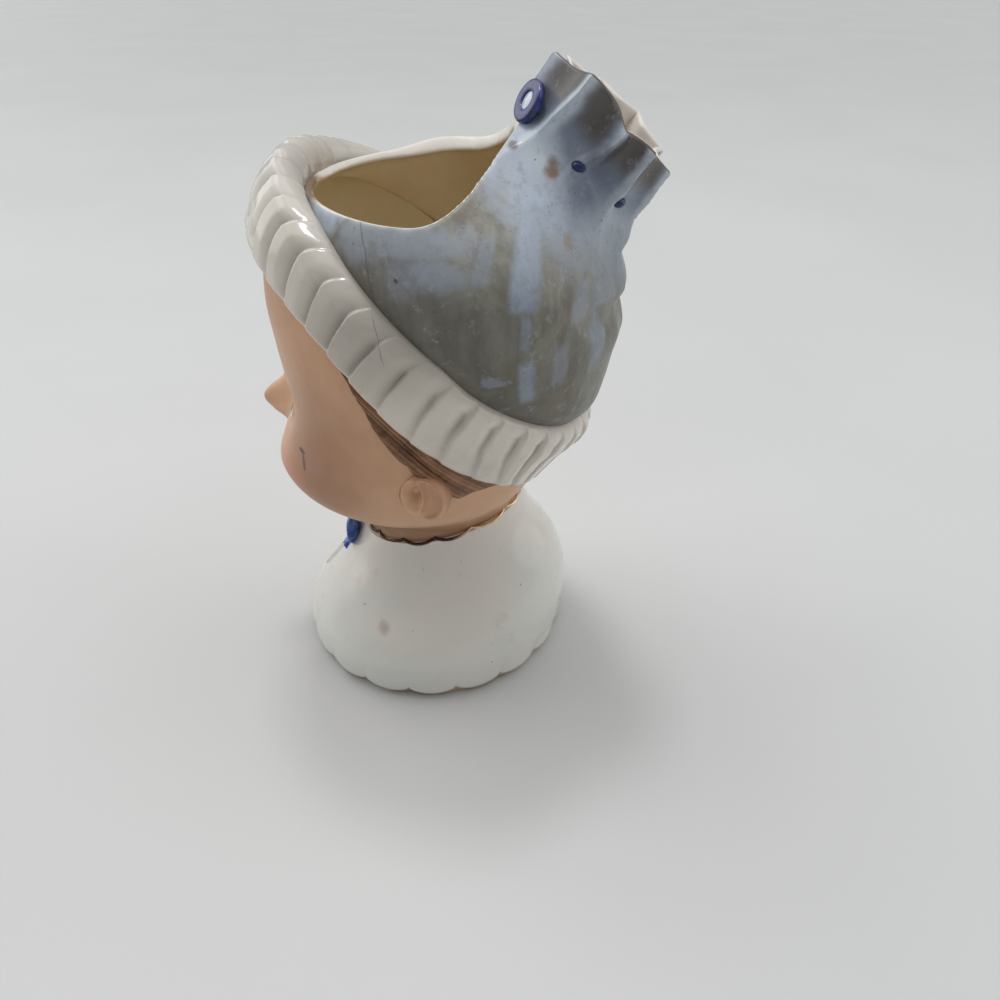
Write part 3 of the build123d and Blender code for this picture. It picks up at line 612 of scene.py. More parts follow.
# Painted shade in the hollows of the ears and where their edge meets the head.
ear_hollow_shade = flesh_paint.node("ShaderNodeAttribute", {"attribute_name": "ear_hollow_shade"}, {}, 2)
flesh_paint.lay(ear_hollow_shade * 0.6, tone(140, 92, 64))
flesh_paint.set("Base Color", flesh_paint.colour)
flesh_paint.set("Roughness", 0.36 + flesh_fine * 0.16)
flesh_paint.relief(flesh_cloud * 0.4 + flesh_fine * 0.2 - chip * 1.2, 0.14)
print("flesh ready")

# %% [markdown]
# The bow and the tie are cobalt, and the edges of collar and hem have gilding that has
# partly rubbed away.

# %% Cobalt and gilding
def cobalt(name, deep, bright):
    """Blue glaze that is darker where it lies thick."""
    paint = Paint(name, roughness=0.22, coat=0.3)
    cloud = paint.noise(3.0, 4.0, 0.65)
    thin = paint.noise(1.3, 3.0, 0.6, move=0.1).step(0.6, 0.78)
    colour = paint.mix(cloud.step(0.38, 0.66), deep, bright)
    paint.set("Base Color", paint.mix(thin * 0.35, colour, tone(120, 136, 196)))
    paint.set("Roughness", 0.2 + cloud * 0.2)
    paint.relief(cloud, 0.12)
    return paint


cobalt_paint = cobalt("cobalt_glaze", tone(46, 74, 160), tone(98, 138, 206))
ring_paint = cobalt("ring_glaze", tone(26, 28, 84), tone(50, 58, 134))


def gilding(name, worn, dark_before=-90.0):
    """Gold line over the glaze, partly rubbed away, and dark brown before a place along the head."""
    paint = Paint(name, roughness=0.24)
    wear = paint.noise(5, 5.0, 0.7, 0.5).step(0.72 - worn, 0.86 - worn)
    shine = paint.noise(2.2, 3.0, 0.5, move=0.2)
    gold = paint.mix(shine.step(0.3, 0.7), tone(232, 202, 156), tone(250, 230, 196))
    bare = paint.mix(paint.noise(6, 3.0, move=0.4).step(0.3, 0.7), tone(196, 174, 148), tone(150, 122, 98))
    gold = paint.mix(paint.y.step(dark_before - 3, dark_before + 3), tone(76, 56, 42), gold)
    paint.set("Base Color", paint.mix(wear, gold, bare))
    paint.set("Metallic", (1 - wear) * 0.85)
    paint.set("Roughness", 0.2 + wear * 0.25 + shine * 0.1)
    paint.relief(shine + wear * 0.5, 0.1)
    return paint


collar_paint = gilding("collar_gilt", 0.12, 12.0)
hem_paint = gilding("worn_gilt", 0.42)
print("cobalt and gilding ready")

# %% [markdown]
# Hair, lips and eyes are painted by hand. The hair's colour follows a strand number that
# its mesh carries, the lips are darker on the line between them, and the iris is drawn
# by its distance from the middle of each eye.

# %% Hair, lips and eyes
hair_paint = Paint("brown_hair", roughness=0.36, coat=0.1)
strand = hair_paint.node("ShaderNodeAttribute", {"attribute_name": "strand"}, {}, 2)
hair_cloud = hair_paint.noise(4, 4.0, 0.6, 0.5)
hair_paint.colour = hair_paint.mix(hair_cloud.step(0.3, 0.7), tone(106, 66, 38), tone(158, 110, 72))
# Brushed streaks, darker in the strand grooves as painted shade and lighter on the ridges as painted
# highlight.
hair_paint.lay((1 - strand.step(0.1, 0.75)) * 0.55, tone(66, 38, 20))
hair_paint.lay(strand.step(0.62, 0.95) * 0.5, tone(186, 142, 104))
hair_paint.set("Base Color", hair_paint.colour)
hair_paint.set("Roughness", 0.3 + hair_cloud * 0.2)
hair_paint.relief(hair_paint.noise(0.7, 3.0, 0.6), 0.1)

lip_paint = Paint("lip_paint", roughness=0.3, coat=0.2)
lip_cloud = lip_paint.noise(1.4, 3.0, 0.6)
lip_line = 1 - abs(lip_paint.z - 59.3).step(0.1, 0.7)
lip_paint.colour = lip_paint.mix(lip_cloud.step(0.3, 0.7), tone(198, 92, 84), tone(178, 72, 68))
lip_paint.lay(lip_line * 0.6, tone(120, 44, 42))
lip_paint.set("Base Color", lip_paint.colour)
lip_paint.relief(lip_cloud, 0.06)

eye_paint = Paint("eye_paint", roughness=0.16, coat=0.5)
eye_side = abs(eye_paint.x) - EYE_SPREAD
eye_rise = eye_paint.z - EYE_HEIGHT
iris_reach = (eye_side * eye_side + eye_rise * eye_rise) ** 0.5
iris = 1 - iris_reach.step(2.45, 2.75)
iris_colour = eye_paint.mix(iris_reach.step(1.2, 2.6), tone(112, 150, 184), tone(44, 76, 116))
eye_white = eye_paint.mix(eye_paint.noise(3, 2.0).step(0.3, 0.7), tone(206, 208, 208), tone(190, 196, 202))
eye_paint.colour = eye_paint.mix(iris, eye_white, iris_colour)
eye_paint.lay(1 - iris_reach.step(1.1, 1.3), tone(20, 20, 24))
glint = ((eye_side + 0.9) ** 2.0 + (eye_rise - 1.0) ** 2.0) ** 0.5
eye_paint.lay(1 - glint.step(0.4, 0.55), tone(244, 246, 248))
lid_line = eye_paint.node("ShaderNodeAttribute", {"attribute_name": "lid"}, {}, 2)
eye_paint.lay(lid_line.step(0.3, 0.7), tone(54, 34, 26))
eye_paint.set("Base Color", eye_paint.colour)
eye_paint.relief(eye_paint.noise(1.2, 2.0), 0.04)

print("hair, lips and eyes ready")

# %% [markdown]
# The cord of the tie has its own blue, and the bead in its middle is a milky pale blue.

# %% Cord and bead
cord_paint = Paint("cord_glaze", roughness=0.3, coat=0.2)
cord_cloud = cord_paint.noise(2.4, 3.0, 0.6)
cord_paint.set("Base Color", cord_paint.mix(cord_cloud.step(0.4, 0.7), tone(20, 26, 82), tone(32, 40, 100)))
cord_paint.relief(cord_cloud, 0.1)

bead_paint = Paint("bead_glaze", roughness=0.2, coat=0.3)
bead_cloud = bead_paint.noise(2.0, 3.0, 0.6)
bead_paint.colour = bead_paint.mix(bead_cloud.step(0.4, 0.7), tone(222, 230, 238), tone(196, 208, 224))
bead_paint.set("Base Color", bead_paint.colour)
bead_paint.relief(bead_cloud, 0.1)
print("small finishes ready")

# %% [markdown]
# The hat sits on a tilted ring. Points on it are set out from the centre of that ring:
# X across the head, a second axis towards the nape and a third one up through the crown.

# %% The tilted frame of the hat
HAT_SEAT = 5.0
HAT_AXES = np.array([
    [1, 0, 0],
    [0, math.cos(HAT_TILT), -math.sin(HAT_TILT)],
    [0, math.sin(HAT_TILT), math.cos(HAT_TILT)],
])


def from_hat(x, y, z):
    """Places given in the hat's frame, in the frame of the whole object."""
    return HAT_CENTRE + np.stack(np.broadcast_arrays(x, y, z), -1) @ HAT_AXES


def to_hat(points):
    """Places of the whole object, in the hat's frame."""
    return (points - HAT_CENTRE) @ HAT_AXES.T


def cut_height(surface, heights, origin, normal, columns):
    """Height at which each column of a surface crosses a plane."""
    found = []
    for angle in columns:
        side = (surface(np.full(len(heights), angle), heights) - origin) @ normal
        found.append(np.interp(0, side, heights))
    return np.array(found)


# %% [markdown]
# The head is a stack of level ovals, held as a table: each row is a share of the height with
# half the width and the reach to the front and to the back. The collar's plane cuts its foot.

# %% Head form
WALL = 3.0
HEAD_WIDTH = 76.0
HEAD_DEPTH = 75.0
HEAD_FOOT = 33.0
HEAD_HEIGHT = 95.0
HEAD_SHARES = [
    (0.000, 0.215, 0.218, 0.300), (0.055, 0.218, 0.225, 0.304), (0.084, 0.224, 0.262, 0.307),
    (0.110, 0.235, 0.312, 0.311), (0.150, 0.285, 0.366, 0.322), (0.205, 0.377, 0.438, 0.368),
    (0.270, 0.455, 0.492, 0.415), (0.390, 0.494, 0.458, 0.475), (0.500, 0.500, 0.425, 0.500),
    (0.640, 0.498, 0.440, 0.500), (0.760, 0.480, 0.450, 0.480), (0.880, 0.430, 0.420, 0.430),
    (1.000, 0.330, 0.320, 0.330),
]
COLLAR_TILT = math.radians(15)
COLLAR_CENTRE = np.array([0, 3.8, 40.2])
COLLAR_UP = np.array([0, -math.sin(COLLAR_TILT), math.cos(COLLAR_TILT)])


def head_section(z):
    """Half width, centre and half depth of the head at a height."""
    wide, front, back = follow(HEAD_SHARES, (z - HEAD_FOOT) / HEAD_HEIGHT)
    return wide * HEAD_WIDTH, (back - front) / 2 * HEAD_DEPTH, (back + front) / 2 * HEAD_DEPTH


def head_surface(angle, z, inset=0.0):
    """Places on the head: a turn from the front and a height."""
    wide, centre, deep = head_section(z)
    return np.stack([(wide - inset) * np.sin(angle), centre - (deep - inset) * np.cos(angle), z], -1)


print("width, depth and height of the head in mm:", HEAD_WIDTH, HEAD_DEPTH, HEAD_HEIGHT)

# %% [markdown]
# The face is modelled on the front of the head by adding soft swellings and hollows to the
# depth: sockets, brow, cheeks, lids, nose, mouth and chin, each on plain proportions.
# Adding to the depth keeps the mesh even and closed.

# %% Face relief
def eye_share(x, z):
    """0 at the middle of an eye and 1 on its outline, which is a wide almond."""
    along = np.abs((np.abs(x) - EYE_SPREAD) / 5.2)
    rise = (z - EYE_HEIGHT) / np.where(z > EYE_HEIGHT, 3.3, 2.7)
    return along**2.2 + np.abs(rise) ** 1.8


# height, how far the nose stands out there, and how far it spreads
NOSE_SHARES = [
    (63.5, 0.0, 3.4), (65.8, 0.6, 3.8), (67.2, 4.8, 4.2), (68.8, 8.0, 4.2), (70.8, 9.3, 4.0),
    (73.2, 8.2, 3.7), (76.4, 5.2, 3.3), (80.0, 3.2, 3.0), (85.0, 1.1, 3.6), (91.0, 0.0, 5.0),
]
# how far each form stands out, its place aside, its height and its reach both ways
FACE_FORMS = [
    (1.2, 18.0, 65.0, 8.5, 8.0),     # cheek
    (-1.8, 15.0, 53.0, 15.0, 7.5),   # hollow along the jaw
    (-1.7, 12.5, 77.5, 8.0, 5.0),    # eye socket
    (0.5, 12.0, 85.0, 9.0, 3.4),     # brow
    (-0.5, 7.0, 72.0, 2.6, 4.5),     # beside the bridge of the nose
    (-0.9, 1.9, 66.9, 0.8, 0.6),     # nostril
    (1.1, 0.0, 59.8, 6.5, 4.4),      # mouth
    (-0.4, 0.0, 64.0, 0.9, 1.7),     # groove under the nose
    (-0.7, 5.6, 59.6, 1.5, 1.3),     # corner of the mouth
    (-0.9, 0.0, 55.6, 4.6, 1.5),     # under the lip
    (1.7, 0.0, 51.8, 6.0, 3.6),      # chin
]


def face_relief(x, z):
    """How far the face stands out of, or sinks into, the plain oval head."""
    side = np.abs(x)
    relief = sum(height * swell(side, z, *place) for height, *place in FACE_FORMS)
    height, spread = follow(NOSE_SHARES, z)
    nose = height * np.exp(-np.abs(x / spread) ** 2.3)
    wing = 4.3 * swell(side, z, 3.5, 68.9, 2.0, 1.9)
    relief += (np.clip(nose, 0, None) ** 3 + wing**3) ** (1 / 3)
    share = eye_share(x, z)
    lid = np.where(z > EYE_HEIGHT, 0.55, 0.28)
    relief += lid * np.exp(-(((share - 1.2) / 0.28) ** 2))
    relief -= 0.3 * np.exp(-(((share - 2.0) / 0.3) ** 2)) * (z > EYE_HEIGHT)
    return relief


def skin_y(x, z):
    """Depth of the front of the face, with its relief."""
    wide, centre, deep = head_section(z)
    return centre - deep * np.sqrt(np.clip(1 - (x / wide) ** 2, 0, 1)) - face_relief(x, z)


print("forms in the face's relief:", len(FACE_FORMS))

# %% [markdown]
# The rings of the head run between two slanted cuts, one inside the collar and one under
# the hat, so each column of points starts and ends at its own height. The columns are
# closer together on the face, where the detail is.

# %% Rings of the head
FACE_COLUMNS = 300
BACK_COLUMNS = 100
HEAD_ROWS = 230
front_turns = np.linspace(-math.pi / 2, math.pi / 2, FACE_COLUMNS, endpoint=False)
back_turns = np.linspace(math.pi / 2, math.pi * 3 / 2, BACK_COLUMNS, endpoint=False)
head_turns = np.concatenate([front_turns, back_turns])
probe = np.linspace(HEAD_FOOT, HEAD_FOOT + HEAD_HEIGHT, 160)
COLLAR_SINK = 1.2
head_low = cut_height(head_surface, probe, COLLAR_CENTRE - COLLAR_UP * COLLAR_SINK, COLLAR_UP, head_turns)
seat = HAT_CENTRE - HAT_AXES[2] * HAT_SEAT
head_high = cut_height(head_surface, probe, seat, HAT_AXES[2], head_turns)
rise = np.linspace(0, 1, HEAD_ROWS)[:, None]
head_z = head_low + (head_high - head_low) * rise
outer = head_surface(head_turns + 0 * head_z, head_z)
front = ease(-outer[..., 1], 4, 12)
outer[..., 1] -= face_relief(outer[..., 0], outer[..., 2]) * front
above_collar = (outer - COLLAR_CENTRE) @ COLLAR_UP
flare = 1.1 * np.exp(-np.clip(above_collar, 0, None) / 1.6)
outer[..., 0] += flare * np.sin(head_turns)
outer[..., 1] -= flare * np.cos(head_turns)
inner_z = head_z[::-3]
lining = head_surface(head_turns + 0 * inner_z, inner_z, WALL)
head_skin = add_mesh("cast_head", *ring_body(np.concatenate([outer, lining]), joined=True))
depth_in = np.concatenate([np.zeros(outer.shape[:2]), np.full(lining.shape[:2], WALL)])
mark(head_skin, "inset", depth_in.ravel())
dress(head_skin, flesh_paint, "flesh_bisque", "head")

# %% [markdown]
# An eye is an almond-shaped dome that sits in its socket. Its outline is a rounded power
# curve, its edge is sunk under the lids, and the share of the way to the edge is kept, so
# that the paint can draw the lash line along the upper lid.

# %% Eyes
DOME_RINGS = 18
DOME_SIDES = 72


def almond(side):
    """Rings of one eye from the middle out, with its sunk back, and the lash line mark."""
    angle = np.linspace(0, math.tau, DOME_SIDES, endpoint=False)
    rings, marks = [], []
    for share in np.linspace(0.06, 1.0, DOME_RINGS):
        along = np.sign(np.cos(angle)) * np.abs(np.cos(angle)) ** (2 / 2.2) * share * 5.5
        up = np.sign(np.sin(angle)) * np.abs(np.sin(angle)) ** (2 / 1.8) * share
        z = EYE_HEIGHT + up * np.where(up > 0, 3.5, 2.9)
        x = side * (EYE_SPREAD + along)
        dome = 0.75 * (1 - share**2) - 0.55 * ease(share, 0.82, 1.0)
        rings.append(np.stack([x, skin_y(x, z) - dome, z], -1))
        marks.append(ease(share, 0.78, 0.9) * ease(np.sin(angle), -0.05, 0.25))
    back = rings[-1].copy()
    back[:, 1] += 1.2
    rings.append(back)
    marks.append(marks[-1])
    return np.array(rings)[:, ::int(side)], np.array(marks)[:, ::int(side)]


for side, word in ((1, "left"), (-1, "right")):
    rings, marks = almond(side)
    eye = add_mesh("painted_eye_" + word, *ring_body(rings[::-1]))
    mark(eye, "lid", np.append(marks[::-1].ravel(), [0, 0]))
    dress(eye, eye_paint, "eye_paint", "eye_" + word)

# %% [markdown]
# The lips are one low pad with a cupid's bow above and a fuller curve below. The line
# between them is a groove in the pad, and the painted line lies in it.

# %% Lips
LIP_HEIGHT = 59.4
LIP_HALF = 4.7
lip_turns = np.linspace(0, math.tau, DOME_SIDES, endpoint=False)
rings = []
for share in np.linspace(0.05, 1.0, DOME_RINGS):
    x = LIP_HALF * np.cos(lip_turns) * share
    edge = np.clip(1 - np.cos(lip_turns) ** 2, 0, 1)
    upper = 1.9 * edge**0.62 * (1 - 0.26 * np.exp(-((LIP_HALF * np.cos(lip_turns) / 0.9) ** 2)))
    lower = -2.3 * edge**0.75
    z = LIP_HEIGHT + share * np.where(np.sin(lip_turns) > 0, upper, lower)
    puff = 1.05 * (1 - share**2) ** 0.7 - 0.6 * np.exp(-(((z - LIP_HEIGHT) / 0.4) ** 2)) * (1 - share) ** 0.3
    rings.append(np.stack([x, skin_y(x, z) - puff + 0.5 * ease(share, 0.9, 1.0), z], -1))
sunk = rings[-1].copy()
sunk[:, 1] += 1.0
lips = add_mesh("painted_lips", *ring_body(np.array(rings + [sunk])[::-1]))
dress(lips, lip_paint, "lip_paint", "lips")

# %% [markdown]
# An ear is read as a height over an oval: a low rolled rim from the front over the top and
# down the back, a ridge from the top at the front down through the middle, and before it a
# bowl with its small flap. The edge turns down to meet the head.

# %% Ears
EAR_HEIGHT = 69.0
EAR_Y = 8.7
EAR_TALL = 12.6
EAR_WIDE = 11.4
EAR_PROUD = 3.6
EAR_LEAN = math.radians(14)
EAR_EDGE_SHARE = 0.93
EAR_RINGS = 40
EAR_SIDES = 120


def ear_height(share, turn):
    """Height of the ear over the head. The turn starts at the back and goes up over the top."""
    back, rise = share * np.cos(turn), share * np.sin(turn)
    line = 0.06 - 0.62 * np.clip(rise, 0, 1) ** 1.4
    helix = np.exp(-(((share - 0.88) / 0.09) ** 2)) * ease(np.cos(turn - 0.7), -0.55, 0.1)
    ridge = np.exp(-(((back - line) / 0.10) ** 2)) * ease(rise, -0.8, -0.4)
    fork = np.exp(-(((back - line - 0.34) / 0.07) ** 2)) * ease(rise, -0.1, 0.3) * (share < 0.8)
    bowl = np.exp(-(((back + 0.36) / 0.26) ** 2) - ((rise - 0.08) / 0.36) ** 2)
    flap = np.exp(-(((back + 0.78) / 0.12) ** 2) - ((rise + 0.05) / 0.2) ** 2)
    lobe = np.exp(-(((back + 0.22) / 0.34) ** 2) - ((rise + 0.66) / 0.24) ** 2)
    folds = 0.3 * helix + 0.32 * ridge + 0.12 * fork + 0.2 * lobe + 0.12 * flap - 0.38 * bowl
    return EAR_PROUD * (0.62 + 0.2 * back + folds)


def cheek_x(y, z):
    """Half width of the head at a place on its side."""
    wide, centre, deep = head_section(np.asarray(z, float))
    return wide * np.sqrt(np.clip(1 - ((y - centre) / deep) ** 2, 0, 1))


for side, word in ((1, "left"), (-1, "right")):
    up = np.array([0, math.sin(EAR_LEAN), math.cos(EAR_LEAN)])
    out = np.array([side * math.cos(EAR_LEAN), -math.sin(EAR_LEAN), 0])
    out -= up * (out @ up)
    out /= np.linalg.norm(out)
    back = np.array([0, math.cos(EAR_LEAN), -math.sin(EAR_LEAN)])
    root = np.array([side * cheek_x(EAR_Y, EAR_HEIGHT), EAR_Y, EAR_HEIGHT])
    turn = np.linspace(0, math.tau, EAR_SIDES, endpoint=False)
    # the lobe narrows and the top is full
    outline = 1 - 0.16 * np.exp(-((np.mod(turn + math.pi / 2 + math.pi, math.tau) - math.pi) / 0.7) ** 2)
    rings = []
    for share in np.linspace(0.03, 1.0, EAR_RINGS):
        edge = max(0.0, (share - EAR_EDGE_SHARE) / (1 - EAR_EDGE_SHARE))
        high = ear_height(share, turn) * math.sqrt(1 - 0.45 * edge**2)
        flat = np.outer(np.cos(turn) * outline * share * EAR_WIDE / 2, back)
        flat += np.outer(np.sin(turn) * outline * share * EAR_TALL / 2, up)
        rings.append(root + flat + np.outer(high, out))
    for share, high in ((1.0, 0.4), (0.95, 0.05), (0.86, -0.35), (0.8, -1.6)):
        flat = np.outer(np.cos(turn) * outline * share * EAR_WIDE / 2, back)
        flat += np.outer(np.sin(turn) * outline * share * EAR_TALL / 2, up)
        rings.append(root + flat + high * EAR_PROUD * out)
    body = ring_body(np.array(rings)[:, ::-side])
    ear = add_mesh("moulded_ear_" + word, *body)
    proud = (body[0] - root) @ out / EAR_PROUD
    # Painted shade, darkest where the ear lies lowest.
    mark(ear, "ear_hollow_shade", 1 - ease(proud, 0.1, 0.72))
    dress(ear, flesh_paint, "flesh_bisque", "ear_" + word)

# %% [markdown]
# Under the cuff the hair is a thin layer modelled on the head and combed back in locks.
# It is a pad over the side of the head: thick under the hat, fading to nothing at the
# lock tips. Strands run back and down, side by side, with grooves of three sizes.

# %% Hair at the sides
HAIR_THICKNESS = 1.4
HAIR_LENGTH = 39.5
HAIR_DROP = 33.0
HAIR_FRONT_Y = -9.0
HAIR_FOOT_Z = 65.5
HAIR_SHARES = [
    (0.00, 1.00), (0.05, 0.95), (0.10, 0.85), (0.15, 0.73), (0.20, 0.62), (0.25, 0.53), (0.31, 0.42),
    (0.35, 0.35), (0.41, 0.27), (0.46, 0.20), (0.53, 0.10), (0.61, 0.02), (0.73, 0.01), (1.00, 0.00),
]
HAIR_TUCK = 9.0
LOCK_PITCH = 3.4
LOCK_TIPS = 5.2
TIP_REACH = 1.6


def combed(points):
    """Strand pattern, from 0 in a groove to 1 on a ridge, along the sweep of the hair."""
    local = to_hat(points)
    along, across = local[..., 1], local[..., 2]
    drift = across + 0.9 * ripple(along * 0.16, across * 0.1, 3) + 0.10 * along + 0.0022 * along**2
    lock = 0.5 + 0.5 * np.sin(math.tau * drift / LOCK_PITCH)
    tress = 0.5 + 0.5 * np.sin(math.tau * drift / (LOCK_PITCH / 3.3) + 2 * ripple(along * 0.2, across, 5))
    fine = 0.5 + 0.5 * np.sin(math.tau * drift / (LOCK_PITCH / 7.7) + 2 * ripple(along * 0.3, across, 8))
    return 0.5 * lock**0.7 + 0.3 * tress + 0.2 * fine


for side, word in ((1, "left"), (-1, "right")):
    share = np.linspace(0, 1, 260)
    edge_table = np.array(HAIR_SHARES)
    low_z = HAIR_FOOT_Z + HAIR_DROP * np.interp(share, edge_table[:, 0], edge_table[:, 1])
    tips = np.abs(np.sin(share * math.pi * LOCK_TIPS + 0.5)) ** 0.7
    low_z = low_z - TIP_REACH * tips * ease(share, 0.08, 0.2) * (1 - ease(share, 0.5, 0.7))
    y = HAIR_FRONT_Y + HAIR_LENGTH * share
    high_z = HAT_CENTRE[2] + (-HAIR_TUCK - (y - HAT_CENTRE[1]) * math.sin(HAT_TILT)) / math.cos(HAT_TILT)
    t = np.linspace(0, 1, 90)[:, None] ** 1.3
    z = low_z + (high_z - low_z) * t
    y = y + 0 * z
    away = z - low_z
    x = cheek_x(y, z)
    wide, centre, deep = head_section(z)
    out = np.stack([x / wide**2, (y - centre) / deep**2, 0 * x], -1)
    out /= np.linalg.norm(out, axis=-1)[..., None]
    skin = np.stack([x, y, z], -1)
    pattern = combed(skin)
    fade = ease(away, 0.0, 3.2) * ease(share * HAIR_LENGTH, 0, 2.5)
    fade = fade * (1 - 0.85 * ease(y, 10, 19))
    thick = -0.35 + (HAIR_THICKNESS + 0.35) * fade**0.6 + 0.8 * (pattern - 0.5) * fade
    front_sheet = skin + out * thick[..., None]
    back_sheet = skin - out * 1.1
    for sheet in (front_sheet, back_sheet):
        sheet[..., 0] *= side
    if side < 0:
        front_sheet, back_sheet = front_sheet[:, ::-1], back_sheet[:, ::-1]
        pattern = pattern[:, ::-1]
    hair = add_mesh("combed_hair_" + word, *pad_body(front_sheet, back_sheet))
    mark(hair, "strand", np.concatenate([pattern.ravel(), pattern.ravel()]))
    dress(hair, hair_paint, "brown_hair", "hair_" + word)

# %% [markdown]
# On the forehead one lock curls out from under the cuff. It is three tapered tubes wound
# on the same spiral, pressed flat against the skin.

# %% Forelock
FORELOCK_HEIGHT = 108.5
FORELOCK_REACH = 4.3
locks = []
for start, size, lift in ((0.0, 1.0, 1.2), (0.9, 0.72, 1.9), (2.0, 0.5, 1.4)):
    t = np.linspace(0, 1, 60)
    turn = 2.0 + start + t * 4.6
    reach = FORELOCK_REACH * size * (1.1 - 0.85 * t)
    x = reach * np.cos(turn)
    z = FORELOCK_HEIGHT + reach * np.sin(turn) + 3.4 * (1 - t) ** 3 * size
    y = skin_y(x, z) - lift
    radii = 1.75 * size**0.5 * (0.35 + 0.65 * np.sin(math.pi * (0.18 + 0.8 * t)))
    locks.append(tube_body(np.stack([x, y, z], -1), radii, 0.8, 7, 0.16))
body = several(locks)
forelock = add_mesh("curled_forelock", *body)
mark(forelock, "strand", np.full(len(body[0]), 0.6))
dress(forelock, hair_paint, "brown_hair", "forelock")

# %% [markdown]
# The cape is a shell of level ovals that flares from the neck to a petalled hem. Under the
# petals sits a low band, gilded once and now mostly bare. The foot is closed.

# %% Shoulder cape
CAPE_HEIGHT = 48.0
CAPE_RADIUS = 37.8
CAPE_SHARES = [
    (0.00, 0.985, 0.985, 0.000), (0.09, 1.000, 1.000, -0.005), (0.20, 0.985, 0.990, 0.022),
    (0.34, 0.905, 0.935, 0.095), (0.49, 0.780, 0.850, 0.155), (0.64, 0.640, 0.740, 0.185),
    (0.80, 0.515, 0.610, 0.165), (1.00, 0.440, 0.530, 0.120),
]
BASE_THICKNESS = 4.5
HEM_BAND_HEIGHT = 2.4
HEM_BAND_WIDTH = 3.6
HEM_SCALLOPS = 18
PETAL_DROP = 1.5


def cape_surface(angle, z, inset=0.0):
    """Places on the cape: a turn from the front and a height."""
    wide, deep, shift = follow(CAPE_SHARES, z / CAPE_HEIGHT) * CAPE_RADIUS
    return np.stack([(wide - inset) * np.sin(angle), shift - (deep - inset) * np.cos(angle), z], -1)


def petals(angle, count):
    """1 in the middle of each petal and 0 in the notch between two."""
    return np.abs(np.cos(angle * count / 2)) ** 0.6


cape_turns = np.linspace(0, math.tau, HEM_SCALLOPS * 24, endpoint=False)
petal = petals(cape_turns, HEM_SCALLOPS)
cape_low = HEM_BAND_HEIGHT + 0.6 - PETAL_DROP * petal
probe = np.linspace(HEM_BAND_HEIGHT, CAPE_HEIGHT, 120)
cape_high = cut_height(cape_surface, probe, COLLAR_CENTRE, COLLAR_UP, cape_turns)
t = np.linspace(0, 1, 130)[:, None]
cape_z = cape_low + (cape_high - cape_low) * t
outer = cape_surface(cape_turns + 0 * cape_z, cape_z)
over_hem = cape_z - cape_low
puff = 0.8 * (petal - 0.6) * np.exp(-over_hem / 3.4) + 0.22 * ripple(cape_turns * 3, cape_z * 0.12, 11)
puff = puff - 0.45 * np.exp(-over_hem / 0.35)
outer[..., 0] += puff * np.sin(cape_turns)
outer[..., 1] -= puff * np.cos(cape_turns)
inner_z = BASE_THICKNESS + (cape_high - BASE_THICKNESS) * np.linspace(1, 0, 40)[:, None]
lining = cape_surface(cape_turns + 0 * inner_z, inner_z, WALL)
foot_steps = [(0.0, HEM_BAND_WIDTH), (HEM_BAND_HEIGHT - 1.2, HEM_BAND_WIDTH), (HEM_BAND_HEIGHT - 0.5, 1.6)]
under = []
for z, inset in foot_steps:
    under.append(cape_surface(cape_turns, np.full(len(cape_turns), z), inset))
cape = add_mesh("glazed_cape", *ring_body(np.concatenate([under, outer, lining])))
dress(cape, cape_paint, "white_glaze", "shoulder_cape")

# %% [markdown]
# The band under the petals is a low ring with a rounded outer edge. It waves in a little
# where the petals meet, so it reads as part of the same mould.

# %% Hem band
HEM_SECTION = [
    (0.0, HEM_BAND_WIDTH), (0.0, 1.1), (0.35, 0.6), (1.2, 0.35), (2.0, 0.5), (2.4, 1.0),
    (2.4, HEM_BAND_WIDTH),
]
hem_radius = CAPE_SHARES[0][1] * CAPE_RADIUS
rings = []
for z, inset in HEM_SECTION:
    reach = hem_radius - inset - (0.8 * (1 - petal) if inset < HEM_BAND_WIDTH else 0)
    rings.append(np.stack([reach * np.sin(cape_turns), -reach * np.cos(cape_turns), z + 0 * cape_turns], -1))
hem = add_mesh("gilt_hem", *ring_body(rings, joined=True))
dress(hem, hem_paint, "worn_gilt", "hem_band")

# %% [markdown]
# The collar is a rolled edge that waves in and out like a frill, with a bright gold line
# on it. It is a ring of round sections, set out on the collar's tilted plane.

# %% Collar edge
COLLAR_HALF_WIDTH = 18.7
COLLAR_HALF_DEPTH = 22.0
BEAD = 0.42
COLLAR_WAVES = 13
collar_across = np.array([0, math.cos(COLLAR_TILT), math.sin(COLLAR_TILT)])
wave = petals(cape_turns + 0.1 * ripple(cape_turns * 3, 0 * cape_turns, 13), COLLAR_WAVES)
rings = []
for turn in np.linspace(0, math.tau, 14, endpoint=False):
    grow = BEAD * math.cos(turn) - BEAD + 0.2 + 1.3 * (wave - 0.7)
    lift = BEAD * math.sin(turn) + 0.1 - 0.8 * (wave - 0.7)
    x = (COLLAR_HALF_WIDTH + grow) * np.sin(cape_turns)
    y = -(COLLAR_HALF_DEPTH + grow) * np.cos(cape_turns)
    level = np.outer(x, (1, 0, 0)) + np.outer(y, collar_across)
    rings.append(COLLAR_CENTRE + level + np.outer(lift, COLLAR_UP))
collar = add_mesh("gilt_collar", *ring_body(rings, joined=True))
dress(collar, collar_paint, "worn_gilt", "collar_edge")

# %% [markdown]
# Down the front the cape's two edges meet in a flat strip. It follows the front of the
# cape and stands a little proud of it, with a fine groove along each side.

# %% Placket
PLACKET_TOP = 36.5
PLACKET_BOTTOM = 13.0


def cape_front(x, z):
    """Depth of the front of the cape at a place on it."""
    wide, deep, shift = follow(CAPE_SHARES, z / CAPE_HEIGHT) * CAPE_RADIUS
    return shift - deep * np.sqrt(np.clip(1 - (x / wide) ** 2, 0, 1))


